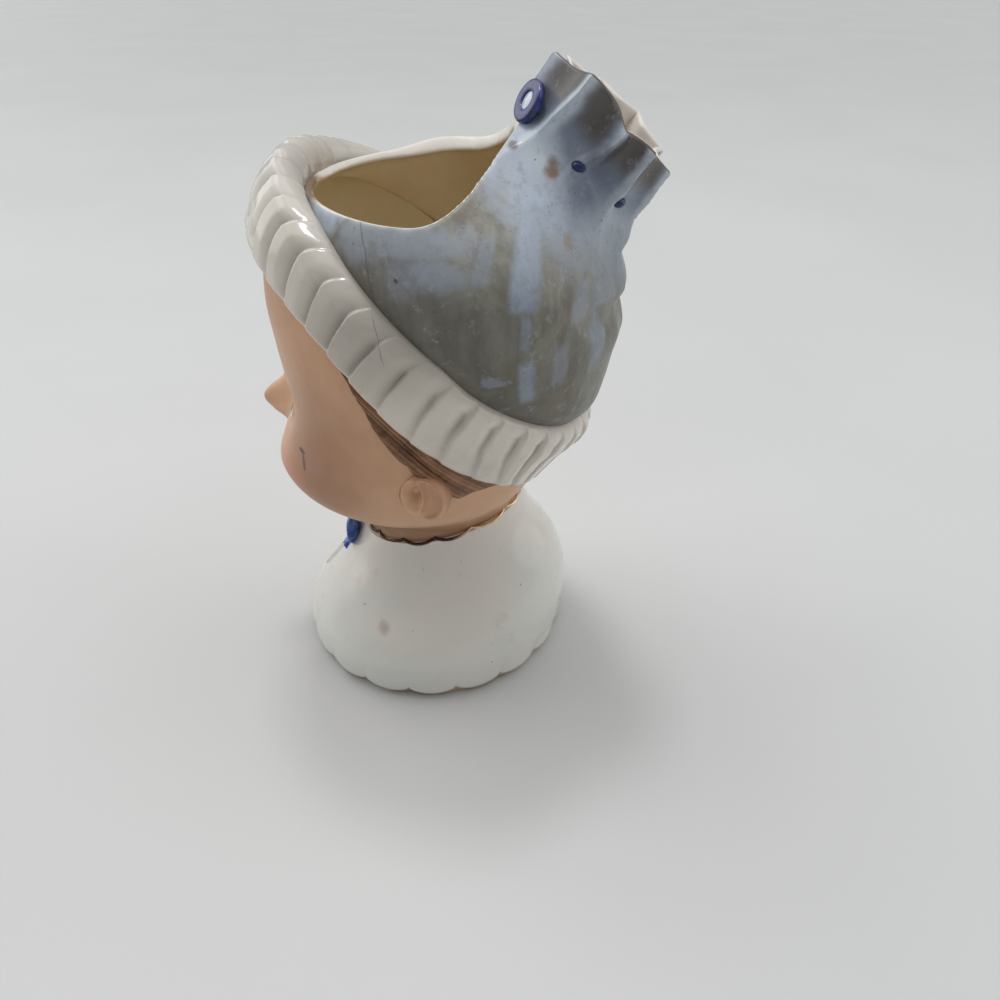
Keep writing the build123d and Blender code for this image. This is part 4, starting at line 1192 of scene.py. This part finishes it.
across = np.linspace(-1, 1, 41)
t = np.linspace(0, 1, 70)[:, None]
z = PLACKET_BOTTOM + (PLACKET_TOP - PLACKET_BOTTOM) * t + 0 * across
x = across * (2.5 + 1.5 * t)
proud = 1.15 * (1 - np.abs(across) ** 6) * ease(t, 0, 0.06) - 0.25
proud = proud - 0.18 * np.exp(-(((np.abs(across) - 0.8) / 0.05) ** 2))
strip = np.stack([x, cape_front(x, z) - proud, z], -1)
sunk = np.stack([x, cape_front(x, z) + 1.0, z], -1)
placket = add_mesh("cape_strip", *pad_body(strip, sunk))
dress(placket, cape_paint, "white_glaze", "cape_placket")

# %% [markdown]
# A cobalt bow is tied at the top of the strip, and set out on the slope of the cape. The
# loops are puffed leaves with pleats that run into the knot, and the tails lie on the cape.

# %% Bow
BOW_HEIGHT = 31.5
LOOP_SIDES = 64
LOOP_LENGTH = 9.0
LOOP_HALF_TALL = 4.3
LOOP_HALF_THICK = 1.75
RIBBON_LENGTH = 9.2
RIBBON_WIDTH = 2.2
RIBBON_FLARE = 1.9
RIBBON_SPREAD = math.radians(24)
KNOT_HALF_WIDE = 2.35
KNOT_HALF_TALL = 2.9
front_top = float(cape_front(np.array(0.0), np.array(BOW_HEIGHT)))
front_low = float(cape_front(np.array(0.0), np.array(PLACKET_BOTTOM)))
bow_out = np.array([0, -(BOW_HEIGHT - PLACKET_BOTTOM), -(front_low - front_top)])
bow_out /= np.linalg.norm(bow_out)
bow_up = np.array([0, -bow_out[2], bow_out[1]]) * -1
bow_centre = np.array([0, front_top, BOW_HEIGHT])


def on_bow(x, up, out):
    """Places on the bow: across, up along the cape and out of it."""
    aside = np.stack(np.broadcast_arrays(x, 0.0, 0.0), -1)
    return bow_centre + aside + np.multiply.outer(up, bow_up) + np.multiply.outer(out, bow_out)


for side, word in ((1, "left"), (-1, "right")):
    turn = np.linspace(0, math.tau, LOOP_SIDES, endpoint=False)
    rings = []
    for u in np.linspace(0, 1, 44):
        round_end = math.sqrt(max(0.003, 1 - (max(0, u - 0.72) / 0.28) ** 2))
        thin_end = math.sqrt(max(0.01, 1 - (max(0, u - 0.6) / 0.4) ** 2))
        half_tall = LOOP_HALF_TALL * math.sin(math.pi * min(1, 0.16 + 0.62 * u)) ** 0.9 * round_end
        half_thick = LOOP_HALF_THICK * (0.55 + 0.45 * math.sin(math.pi * u)) * thin_end
        pleat = 0.34 * math.exp(-u * 2.6) * np.cos(5 * turn)
        dent = 0.9 * math.exp(-(((u - 0.66) / 0.2) ** 2)) * np.exp(-((np.sin(turn) / 0.42) ** 2))
        up = half_tall * np.sin(turn) * (1 + 0.05 * pleat)
        out = half_thick * np.cos(turn) + 1.9 + pleat - dent * (np.cos(turn) > 0)
        aside = np.full(LOOP_SIDES, side * (0.6 + LOOP_LENGTH * u))
        rings.append(bow_centre + np.stack([aside, -out, up], -1))
    loop = add_mesh("bow_loop_" + word + "_ribbon", *ring_body(np.array(rings)[:, ::-side]))
    dress(loop, cobalt_paint, "cobalt_glaze", "bow_loop_" + word)

    across = np.linspace(0, 1, 25)
    t = np.linspace(0, 1, 50)[:, None]
    notch = 1.5 * (1 - np.abs(across * 2 - 1)) * ease(t, 0.7, 1.0)
    down = RIBBON_LENGTH * t - notch
    wide = (across - 0.5) * (RIBBON_WIDTH + RIBBON_FLARE * t)
    x = side * (wide * math.cos(RIBBON_SPREAD) + down * math.sin(RIBBON_SPREAD) + 1.0)
    z = BOW_HEIGHT - down * math.cos(RIBBON_SPREAD) * 0.93 + wide * math.sin(RIBBON_SPREAD)
    edge = (1 - np.abs(across * 2 - 1) ** 5) * ease(1 - t, 0, 0.05)
    proud = 0.3 + 0.9 * edge + 0.35 * np.sin(across * math.pi * 2 + t * 2) * edge
    top = np.stack([x, cape_front(x, z) - proud, z], -1)
    sunk = np.stack([x, cape_front(x, z) + 0.5, z], -1)
    if side > 0:
        top, sunk = top[::-1], sunk[::-1]
    ribbon = add_mesh("bow_tail_" + word + "_ribbon", *pad_body(top, sunk))
    dress(ribbon, cobalt_paint, "cobalt_glaze", "bow_tail_" + word)

turn = np.linspace(0, math.tau, LOOP_SIDES, endpoint=False)
rings = []
for u in np.linspace(-0.97, 0.97, 30):
    size = math.sqrt(1 - abs(u) ** 2.6) * (1 - 0.1 * np.cos(6 * turn) * (1 - abs(u)))
    out = 2.3 + 2.1 * size * np.sin(turn)
    rings.append(on_bow(KNOT_HALF_WIDE * size * np.cos(turn), KNOT_HALF_TALL * u + 0 * turn, out))
knot = add_mesh("bow_tie_knot", *ring_body(np.array(rings)[:, ::-1]))
dress(knot, cobalt_paint, "cobalt_glaze", "bow_knot")

# %% [markdown]
# The crown and its gathered tail are one sweep of ovals with flutes that grow towards the
# end. At the nape the soft cap has slouched, so two folds run across it. All of this is
# one function of a turn and a height, which serves the crown, the tail and the tie.

# %% Crown form
CROWN_RADIUS = 42.0
CROWN_HEIGHT = 39.0
CROWN_SHARES = [
    (-5.0, 0.925, 0.995, 0.890), (0.0, 0.945, 1.015, 0.905), (4.7, 0.985, 1.030, 0.910),
    (10.1, 1.000, 1.020, 0.850), (15.6, 0.975, 0.980, 0.775), (21.1, 0.900, 0.905, 0.705),
    (26.5, 0.750, 0.770, 0.600), (32.0, 0.520, 0.565, 0.470), (39.0, 0.365, 0.445, 0.350),
    (42.7, 0.372, 0.450, 0.345), (46.9, 0.386, 0.458, 0.326), (49.5, 0.392, 0.463, 0.320),
    (54.5, 0.398, 0.468, 0.316),
]
FLUTE_SHARES = [
    (-5.0, 0.0), (20.0, 0.0), (27.0, 0.08), (32.0, 0.25), (36.0, 0.45), (39.0, 0.60), (42.7, 0.85),
    (46.9, 1.0), (49.5, 1.05), (54.5, 1.08),
]
FLUTES = 9
FLUTE_DEPTH = 3.2
# turns of the ridges from the front, at the waist and at the open end
WAIST_RIDGES = [6, 51, 87, 124, 170, 210, 249, 288, 327]
END_RIDGES = [6, 58, 98, 126, 173, 212, 250, 289, 328]
# height, reach and depth of the folds at the nape
FOLDS = [(32.0, 2.2, 1.9), (24.3, 2.4, 2.4)]


def flute_wave(angle, height):
    """1 in the bottom of a flute and 0 on the ridge between two, which lean as they rise."""
    turn = np.degrees(np.mod(angle, math.tau))
    count = np.arange(-1, FLUTES + 2)
    phases = []
    for ridges in (WAIST_RIDGES, END_RIDGES):
        turns = np.array([ridges[i % FLUTES] + 360 * (i // FLUTES) for i in count])
        phases.append(np.interp(turn, turns, count))
    share = ease(height, 38, 50)
    phase = phases[0] + (phases[1] - phases[0]) * share
    return np.abs(np.sin(phase * math.pi)) ** 0.85


def crown_sink(angle, height):
    """How far the flutes and folds sink into the plain sweep."""
    sink = follow(FLUTE_SHARES, height)[0] * FLUTE_DEPTH * flute_wave(angle, height)
    slack = ease(height, 8, 26) * (1 - ease(height, 36, 42)) * (0.4 + 0.6 * ease(-np.cos(angle), -0.4, 0.6))
    sink = sink - 0.75 * slack * ripple(angle * 3.2, height * 0.10, 41)
    nape = ease(-np.cos(angle), 0.42, 0.87)
    for middle, reach, depth in FOLDS:
        sink = sink + nape * depth * np.exp(-(((height - middle) / reach) ** 2))
    return sink


def crown_surface(angle, height, inset=0.0):
    """Places on the crown and tail in the hat's frame."""
    wide, front, back = follow(CROWN_SHARES, height) * CROWN_RADIUS
    inset = inset + crown_sink(angle, height)
    deep = (front + back) / 2
    x = (wide - inset) * np.sin(angle)
    y = (back - front) / 2 - (deep - inset) * np.cos(angle)
    return np.stack([x, y, height + 0 * x], -1)


def crown_inset(local):
    """Turn of each place in the hat's frame, and how far it lies inside the outer surface."""
    height = local[:, 2]
    wide, front, back = follow(CROWN_SHARES, height) * CROWN_RADIUS
    deep, centre = (front + back) / 2, (back - front) / 2
    angle = np.arctan2(local[:, 0] / wide, -(local[:, 1] - centre) / deep)
    plain = np.hypot(wide * np.sin(angle), deep * np.cos(angle))
    return angle, plain - np.hypot(local[:, 0], local[:, 1] - centre) - crown_sink(angle, height)


print("crown height in mm:", CROWN_HEIGHT)

# %% [markdown]
# The cuff is a thick knitted roll of 38 ribs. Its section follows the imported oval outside,
# turns in at a soft lower edge and runs back up inside the head's surface, so nothing
# gapes. Above, it rolls over and meets the crown on a line that dips at the front. Each
# rib overlaps the next like a shingle: a crisp crest on one side, a slow fall on the other.

# %% Ribbed cuff
CUFF_RIBS = 38
RIB_PITCH = 360 / CUFF_RIBS
RIB_DEPTH = 1.5
# depth below the cuff's plane, half width, half length and shift of the outer section
CUFF_ROWS = [
    (1.0, 42.9, 46.2, 4.0), (2.2, 43.1, 46.5, 4.0), (4.5, 43.5, 46.97, 4.0), (8.4, 43.24, 46.8, 4.0),
    (13.3, 42.1, 46.2, 3.2), (20.3, 40.9, 46.0, 2.4),
]
# place along the head and depth of the lower edge
CUFF_FOOT = [(-50.8, 16.5), (-33.0, 12.8), (-20.0, 11.8), (0.0, 15.0), (46.5, 20.0)]
RIB_FADE = [(-4, 0), (-2, 0.1), (0, 0.35), (1.5, 0.6), (3, 0.9), (4.5, 1), (8, 0.85), (12, 0.6), (21, 0.4)]
# turn from the front in degrees, and how far a rib has leaned by the lower edge
RIB_SLANT = [
    (0, 0), (45, 4), (60, 3.5), (72, 1.5), (80, -0.5), (90, 0), (100, 1.8), (110, 2.4), (122, 5.6), (135, 8),
    (180, 0),
]
# turn from the front in degrees, and height at which the roll meets the crown
MEET_HEIGHT = [
    (0, -3.4), (15, -2.6), (31, 0.2), (41, 1.9), (50, 2.4), (95, 2.2), (105, 1.0), (115, 0.7), (180, 0.4),
]
ROLL_TOP = 2.5
EDGE = 1.1

rib_steps = 32
cuff_turns = np.linspace(0, math.tau, CUFF_RIBS * rib_steps, endpoint=False)
from_front = np.degrees(np.abs(np.mod(cuff_turns + math.pi, math.tau) - math.pi))
rib_chance = np.random.default_rng(21).uniform(0.7, 1.15, 2 * CUFF_RIBS)


def read(table, at):
    """Straight reading between the rows of a table with two columns."""
    rows = np.array(table, float)
    return np.interp(at, rows[:, 0], rows[:, 1])


def rib_form(down):
    """Height from 0 to 1 across the ribs, and the depth of shade in the creases."""
    place = (from_front - read(RIB_SLANT, from_front) * down) / RIB_PITCH + 0.5
    number = np.floor(place).astype(int) + CUFF_RIBS * (cuff_turns > math.pi)
    place = np.mod(place, 1)
    form = ease(place, 0.0, 0.1) * (1 - ease(place, 0.48, 1.02)) ** 0.8
    size = 1 + (rib_chance[number] - 1) * ease(place, 0, 0.12) * (1 - ease(place, 0.8, 1))
    dark = np.exp(-(((1 - place) / 0.17) ** 2)) + np.exp(-((place / 0.03) ** 2))
    return form * size, dark


def cuff_point(depth, inset=0.0):
    """Places on the outside of the cuff, at one depth for each turn."""
    wide, long, shift = follow(CUFF_ROWS, depth)
    x = (wide - inset) * np.sin(cuff_turns)
    return np.stack([x, -(long - inset) * np.cos(cuff_turns) - shift, -depth + 0 * x], -1)


def ribbed(points, down, over=0.0):
    """Points of the plain cuff with the ribs pressed in, and the shade in the creases."""
    form, dark = rib_form(down)
    fade = read(RIB_FADE, -points[:, 2]) * (1 - 0.4 * ease(down, 0.8, 1.0)) * (1 - 0.7 * ease(over, 0.6, 1.0))
    wobble = 0.1 * ripple(cuff_turns * 16, points[:, 2] * 0.5, 31) * (0.4 + fade)
    sink = RIB_DEPTH * fade * (1 - form) + wobble
    return points - outward * sink[:, None], dark * fade


def head_within(x, y, depth, sink):
    """Share of the way out to the head's skin, less a sink, along a spoke of the cuff."""
    low_share, high_share = np.full(len(x), 0.3), np.full(len(x), 1.1)
    for _ in range(28):
        share = (low_share + high_share) / 2
        point = from_hat(x * share, y * share, -depth)
        wide, centre, deep = head_section(point[:, 2])
        level = (point[:, 0] / wide) ** 2 + ((point[:, 1] - centre) / deep) ** 2
        low_share = np.where(level < 1, share, low_share)
        high_share = np.where(level < 1, high_share, share)
    return low_share - sink / np.hypot(x, y)


print("ribs round the cuff:", CUFF_RIBS)

# %% [markdown]
# The rings run from the crown over the roll, down the ribbed outside, round the lower edge
# and back up inside the head's skin. The roll is a curve with four control points.

# %% Rings of the cuff
# turn from the front in degrees, and how far the roll's curve is drawn up over the cuff,
# out from the crown, and up over the crown
ROLL_LIFT = [(0, 4.6), (20, 3.4), (40, 2.6), (180, 2.4)]
ROLL_BULGE = [(0, 2.0), (31, 1.8), (45, 1.6), (180, 1.2)]
ROLL_ARCH = [(0, 4.5), (31, 2.0), (45, 0.2), (180, 0.2)]
CUFF_HALF_LENGTH = 46.5
CUFF_SHIFT = 4.0
outward = np.stack([np.sin(cuff_turns), -np.cos(cuff_turns), 0 * cuff_turns], -1)
upward = np.array([0, 0, 1.0])
plain_y = -CUFF_HALF_LENGTH * np.cos(cuff_turns) - CUFF_SHIFT
cuff_foot = follow(CUFF_FOOT, plain_y)[0] + 0.15 * ripple(cuff_turns * 14, cuff_turns * 5, 33)
meet = read(MEET_HEIGHT, from_front)
roll_end = crown_surface(cuff_turns, meet, 0.4)
roll_start = cuff_point(ROLL_TOP)
lift, reach, arch = [read(table, from_front)[:, None] for table in (ROLL_LIFT, ROLL_BULGE, ROLL_ARCH)]
rings, grooves = [], []
for t in np.linspace(1, 0, 20)[:-1]:
    point = (1 - t) ** 3 * roll_start + 3 * (1 - t) ** 2 * t * (roll_start + lift * upward)
    point = point + 3 * (1 - t) * t**2 * (roll_end + reach * outward + arch * upward) + t**3 * roll_end
    point, dark = ribbed(point, 0.0, t)
    rings.append(point)
    grooves.append(dark)
for t in np.linspace(0, 1, 56):
    point, dark = ribbed(cuff_point(ROLL_TOP + (cuff_foot - EDGE - ROLL_TOP) * t), t)
    rings.append(point)
    grooves.append(dark)
for turn in np.linspace(0, math.pi / 2, 8)[1:]:
    depth, inward = cuff_foot - EDGE + EDGE * math.sin(turn), EDGE * (1 - math.cos(turn))
    point, dark = ribbed(cuff_point(depth, inward), 1.0)
    rings.append(point)
    grooves.append(dark * 0 - 1)
edge_ring = rings[-1]
for depth_share, sink in ((1.0, 0.6), (0.85, 0.9), (0.6, 0.9)):
    depth = cuff_foot * depth_share
    share = np.minimum(head_within(edge_ring[:, 0], edge_ring[:, 1], depth, sink), 0.985)
    rings.append(np.stack([edge_ring[:, 0] * share, edge_ring[:, 1] * share, -depth], -1))
    grooves.append(0 * cuff_turns)
rings.append(crown_surface(cuff_turns, np.minimum(meet - 1.0, -3.9), 0.8))
grooves.append(0 * cuff_turns)
rings = np.array(rings)[::-1]
cuff_rings = from_hat(rings[..., 0], rings[..., 1], rings[..., 2])
cuff = add_mesh("ribbed_cuff", *ring_body(cuff_rings, joined=True))
mark(cuff, "groove", np.array(grooves)[::-1].ravel())
dress(cuff, cuff_paint, "cream_glaze", "hat_cuff")

# %% [markdown]
# The mouth is a level scoop that bends up before the tail. The crown's room and the scoop
# are cut out of a solid, and the cut body is remeshed and smoothed, which rolls the sharp
# rims as glaze does.

# %% Crown with its mouth
TAIL_WAIST_OVER = 45.0
MOUTH_HEIGHT = 127.0
MOUTH_BEND = 14.0
MOUTH_BACK_Y = 14.5
MOUTH_LEAN = math.radians(39)
ROOM_TOP = 32.0
FRONT_THINNING = 1.4
FAR = 120.0
VOXEL = 0.5


def crown_solid(name, heights, inset, thin=0.0):
    """Closed solid of the crown, smaller all round by the inset, which is thinned at the front."""
    turns = np.linspace(0, math.tau, 720, endpoint=False)
    heights = np.asarray(heights, float)[:, None] + 0 * turns
    inset = inset - thin * ease(np.cos(turns), 0.5, 0.9) * (1 - ease(heights, 4, 12))
    local = crown_surface(turns + 0 * heights, heights, inset)
    return add_mesh(name, *ring_body(from_hat(local[..., 0], local[..., 1], local[..., 2])))


def carve(made, tool):
    """Cut a tool out of a body and remove the tool."""
    settle(made, "BOOLEAN", operation="DIFFERENCE", object=tool, solver="EXACT")
    bpy.data.objects.remove(tool)


def depth_under(points, line):
    """Distance of each place from the line of the scoop, seen from the side."""
    line = np.array(line)
    start, step = line[:-1], np.diff(line, axis=0)
    away = points[:, None, 1:] - start
    share = np.clip((away * step).sum(-1) / (step**2).sum(-1), 0, 1)
    return np.linalg.norm(away - share[..., None] * step, axis=-1).min(1)


hat_solid = crown_solid("hat_solid", np.linspace(-HAT_SEAT, TAIL_WAIST_OVER, 110), 0.0)
carve(hat_solid, crown_solid("crown_room", np.linspace(-HAT_SEAT - 4, ROOM_TOP, 70), WALL, FRONT_THINNING))
bend = math.pi / 2 - MOUTH_LEAN
arc_start = MOUTH_BACK_Y - MOUTH_BEND * math.tan(bend / 2)
profile = [(-FAR, MOUTH_HEIGHT + FAR), (-FAR, MOUTH_HEIGHT)]
for turn in np.linspace(0, bend, 24):
    along, climb = MOUTH_BEND * math.sin(turn), MOUTH_BEND * (1 - math.cos(turn))
    profile.append((arc_start + along, MOUTH_HEIGHT + climb))
profile.append((MOUTH_BACK_Y + FAR * math.tan(MOUTH_LEAN), MOUTH_HEIGHT + FAR))
carve(hat_solid, add_mesh("mouth_scoop", *ring_body([[(x, y, z) for y, z in profile] for x in (-FAR, FAR)])))
print("hat cut out:", len(hat_solid.data.polygons), "faces")

# %% [markdown]
# Remeshing gives the cut body one even skin, and smoothing rounds its rim. Both shrink the
# outside a little, so points well below the rim go back onto the true surface. The near rim
# then slopes down inwards, and the far rim leans out and rises into a broad rounded lip.
# What lies past the waist is cut off.

# %% Roll and bevel the rim
settle(hat_solid, "REMESH", mode="VOXEL", voxel_size=VOXEL * MM)
settle(hat_solid, "SMOOTH", factor=0.5, iterations=9)
places = points_of(hat_solid)
local = to_hat(places)
turns, inset = crown_inset(local)
under = depth_under(places, profile[1:])
true = crown_surface(turns, local[:, 2])
true = from_hat(true[:, 0], true[:, 1], true[:, 2])
snap = (ease(under, 0.9, 3.0) * (1 - ease(np.abs(inset), 0.5, 1.3)))[:, None]
places = places + (true - places) * snap
inset = inset * (1 - snap[:, 0])
near_rim = ease(places[:, 0], -10, 6) * (1 - ease(under, 0, 8))
far_side = ease(-places[:, 0], -6, 6) * np.exp(-(under / 1.8) ** 2)
bevel = np.clip(inset, 0, WALL) * (0.5 * near_rim + 0.95 * far_side)
far_rim = ease(-places[:, 0], 0, 16) * np.exp(-under / 4) * ease(local[:, 2], 4, 12)
away = np.stack([np.sin(turns), -np.cos(turns), 0 * turns], -1) @ HAT_AXES
places = places + away * far_rim[:, None]
places[:, 2] += far_rim * (1.1 + 0.3 * ripple(places[:, 1] * 0.3, places[:, 0] * 0.3, 61)) - bevel
set_points(hat_solid, places)
mark(hat_solid, "inset", inset)
mark(hat_solid, "under", under)
mark(hat_solid, "groove", flute_wave(turns, local[:, 2]) * np.interp(local[:, 2], [26, 38], [0, 1]))
settle(hat_solid, "SMOOTH", factor=0.5, iterations=12)
print("hat remeshed:", len(hat_solid.data.polygons), "faces")

work = bmesh.new()
work.from_mesh(hat_solid.data)
waist = Vector(from_hat(0.0, 0.0, CROWN_HEIGHT)) * MM
cut = bmesh.ops.bisect_plane(work, geom=work.verts[:] + work.edges[:] + work.faces[:], plane_co=waist,
                             plane_no=Vector(HAT_AXES[2]), clear_outer=True)
border = [item for item in cut["geom_cut"] if isinstance(item, bmesh.types.BMEdge)]
bmesh.ops.holes_fill(work, edges=border, sides=0)
bmesh.ops.triangulate(work, faces=[face for face in work.faces if len(face.verts) > 4])
work.to_mesh(hat_solid.data)
work.free()
hat_solid.name = "knitted_crown"
dress(hat_solid, hat_paint, "blue_wash", "hat_crown")

# %% [markdown]
# The tail flares out of the waist like the mouth of a flower. Its rim stands higher on the
# left side than at the front. It is one stack of rings: up the outside, over a thin
# rolled rim, down the inside and across the floor of its shallow hollow.

# %% Gathered tail
TAIL_WALL = 2.0
TAIL_FLOOR = 44.4
TAIL_SIDES = 720
# turn from the front in degrees, and height of the tail's rim
TAIL_RIM = [
    (0, 49.4), (25, 50.6), (58, 53.2), (74, 52.9), (86, 52.5), (98, 51.0), (110, 51.0), (126, 51.9),
    (150, 50.8), (178, 49.9), (222, 51.0), (248, 51.6), (300, 50.4), (335, 49.4), (360, 49.4),
]
tail_turns = np.linspace(0, math.tau, TAIL_SIDES, endpoint=False)
rim_height = read(TAIL_RIM, np.degrees(np.mod(tail_turns, math.tau)))
soften = np.hanning(31) / np.hanning(31).sum()
rim_height = np.convolve(np.tile(rim_height, 3), soften, "same")[TAIL_SIDES:-TAIL_SIDES]
lip = TAIL_WALL / 2
rings, insets = [], []
for t in np.linspace(0, 1, 44):
    height = CROWN_HEIGHT + (rim_height - lip - CROWN_HEIGHT) * t
    rings.append(crown_surface(tail_turns, height, 0.0))
    insets.append(0 * tail_turns)
for turn in np.linspace(0, math.pi, 12)[1:]:
    climb, inward = lip * 0.8 * math.sin(turn), lip * (1 - math.cos(turn))
    rings.append(crown_surface(tail_turns, rim_height - lip + climb, inward))
    insets.append(0 * tail_turns + inward)
for t in np.linspace(0, 1, 24)[1:]:
    height = rim_height - lip + (TAIL_FLOOR - rim_height + lip) * t
    rings.append(crown_surface(tail_turns, height, TAIL_WALL + 0.8 * t**2))
    insets.append(0 * tail_turns + TAIL_WALL + 1)
floor_middle = np.array([0, 0, TAIL_FLOOR - 0.6])
for share in (0.93, 0.8, 0.55, 0.3):
    rings.append(rings[-1] * share + floor_middle * (1 - share))
    insets.append(0 * tail_turns + TAIL_WALL + 1)
rings = np.array(rings)
tail_points, tail_faces = ring_body(from_hat(rings[..., 0], rings[..., 1], rings[..., 2]))
tail = add_mesh("gathered_tail", tail_points, tail_faces)
mark(tail, "under", np.full(len(tail_points), 9.0))
mark(tail, "inset", np.append(np.ravel(insets), [0, TAIL_WALL + 1]))
mark(tail, "groove", np.append(flute_wave(tail_turns + 0 * rings[..., 2], rings[..., 2]).ravel(), [0.5, 0.5]))
dress(tail, hat_paint, "blue_wash", "hat_tail")

# %% [markdown]
# A cord ties the gather. It shows as a flat ring bead with a pale middle, and as short
# painted stitches where it crosses the ridges.

# %% Tie
TIE_TURN = math.radians(21)
TIE_RISE = 1.4
TIE_RING = 4.3
TIE_HOLE = 1.7
TIE_WIDE = 1.14
TIE_TALL = 0.94
BEAD_RADIUS = 2.1
STITCHES = 6
STITCH_START = 87
STITCH_STEP = 45


def waist_frame(turn, rise, smooth=False):
    """Place on the waist with the directions out, up and along the cord."""
    turns, heights = turn + np.array([0, 0.02, 0]), CROWN_HEIGHT + rise + np.array([0, 0, 0.3])
    inset = 0.9 - crown_sink(turns, heights) if smooth else 0.0
    here, beside, above = crown_surface(turns, heights, inset)
    place, side, up = [from_hat(*point) for point in (here, beside, above)]
    side = (side - place) / np.linalg.norm(side - place)
    up = (up - place) / np.linalg.norm(up - place)
    out = np.cross(side, up)
    return place, out / np.linalg.norm(out), up, side


place, out, up, side_way = waist_frame(TIE_TURN, TIE_RISE, True)
turn = np.linspace(0, math.tau, 96, endpoint=False)
rings = []
half_band = (TIE_RING - TIE_HOLE) / 2
for roll in np.linspace(0, math.tau, 30, endpoint=False):
    across = np.sign(math.cos(roll)) * abs(math.cos(roll)) ** 0.6
    reach = TIE_RING - half_band + half_band * across + 0.1 * ripple(turn * 2, roll, 51)
    lift = 0.35 + 0.95 * np.sign(math.sin(roll)) * abs(math.sin(roll)) ** 0.6
    level = np.outer(TIE_WIDE * reach * np.cos(turn), side_way)
    level = level + np.outer(TIE_TALL * reach * np.sin(turn), up)
    rings.append(place + level + lift * out)
ring = add_mesh("tie_ring_bead", *ring_body(rings, joined=True))
dress(ring, ring_paint, "cobalt_glaze", "tie_ring")

rings = []
for share in np.linspace(0.04, 1, 12):
    lift = 0.35 * (1 - share**2) + 0.75 - 1.4 * (share == 1)
    level = np.outer(np.cos(turn), side_way) + np.outer(np.sin(turn), up)
    rings.append(place + BEAD_RADIUS * share * level + lift * out)
bead = add_mesh("tie_bead_middle", *ring_body(np.array(rings)[::-1]))
dress(bead, bead_paint, "white_glaze", "tie_bead")

stitches = []
for index in range(STITCHES):
    place, out, up, side_way = waist_frame(math.radians(STITCH_START + STITCH_STEP * index), TIE_RISE)
    t = np.linspace(-1, 1, 26)
    path = place + np.outer(t * 1.9, side_way * 0.82 + up * 0.3) + np.outer(0.2 - 0.6 * t**2, out)
    stitches.append(tube_body(path, 0.95 * np.sqrt(1.02 - t**2), 1.0, 0, 0.0, 20))
cord = add_mesh("tie_cord_stitches", *several(stitches))
dress(cord, cord_paint, "cobalt_glaze", "tie_stitches")

# %% [markdown]
# The planter stands on a pale sheet in a bright room. The light is soft and comes from all
# round, a little more from the face's right side, so the side that is seen lies in soft
# shade. One small lamp above leaves crisp highlights on the gloss glaze.

# %% Floor and light
SHEET = 20000
sheet = [(-SHEET, -SHEET, 0), (SHEET, -SHEET, 0), (SHEET, SHEET, 0), (-SHEET, SHEET, 0)]
floor_mesh = add_mesh("pale_floor", sheet, [[0, 1, 2, 3]])
floor_paint = Paint("pale_sheet", roughness=0.6)
floor_tone = floor_paint.noise(160, 3.0, 0.5).step(0.3, 0.7)
floor_paint.set("Base Color", floor_paint.mix(floor_tone, tone(216, 217, 216), tone(213, 214, 213)))
floor_mesh.data.materials.append(floor_paint.material)
floor_mesh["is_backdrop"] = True

world = bpy.data.worlds.new("studio")
world.use_nodes = True
room = world.node_tree.nodes["Background"].inputs
room["Color"].default_value = (0.97, 0.985, 1.0, 1.0)
room["Strength"].default_value = 0.31
bpy.context.scene.world = world


def add_light(kind, name, towards, energy, **settings):
    """Light that faces the planter from the given direction."""
    data = bpy.data.lights.new(name, kind)
    data.energy = energy
    for key, value in settings.items():
        setattr(data, key, value)
    light = bpy.data.objects.new(name, data)
    towards = Vector(towards).normalized()
    light.location = towards * (950 * MM)
    light.rotation_euler = towards.to_track_quat("Z", "Y").to_euler()
    bpy.context.scene.collection.objects.link(light)


SOFT = math.radians(65)
add_light("SUN", "sky_light", (-0.33, -0.15, 0.93), 0.72, angle=SOFT)
add_light("SUN", "front_light", (-0.3, -0.8, 0.52), 1.0, angle=SOFT)
add_light("SUN", "back_light", (-0.3, 0.8, 0.52), 0.70, angle=SOFT)
add_light("AREA", "ceiling_lamp", (-0.22, -0.04, 0.97), 1.45, shape="SQUARE", size=130 * MM)

bpy.context.scene.view_settings.view_transform = "Standard"

# %% [markdown]
# The last step prints the box of the dressed planter.

# %% Size and finish
low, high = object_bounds()
print("visual box in mm:", [round(v / MM, 1) for v in (*low, *high)])
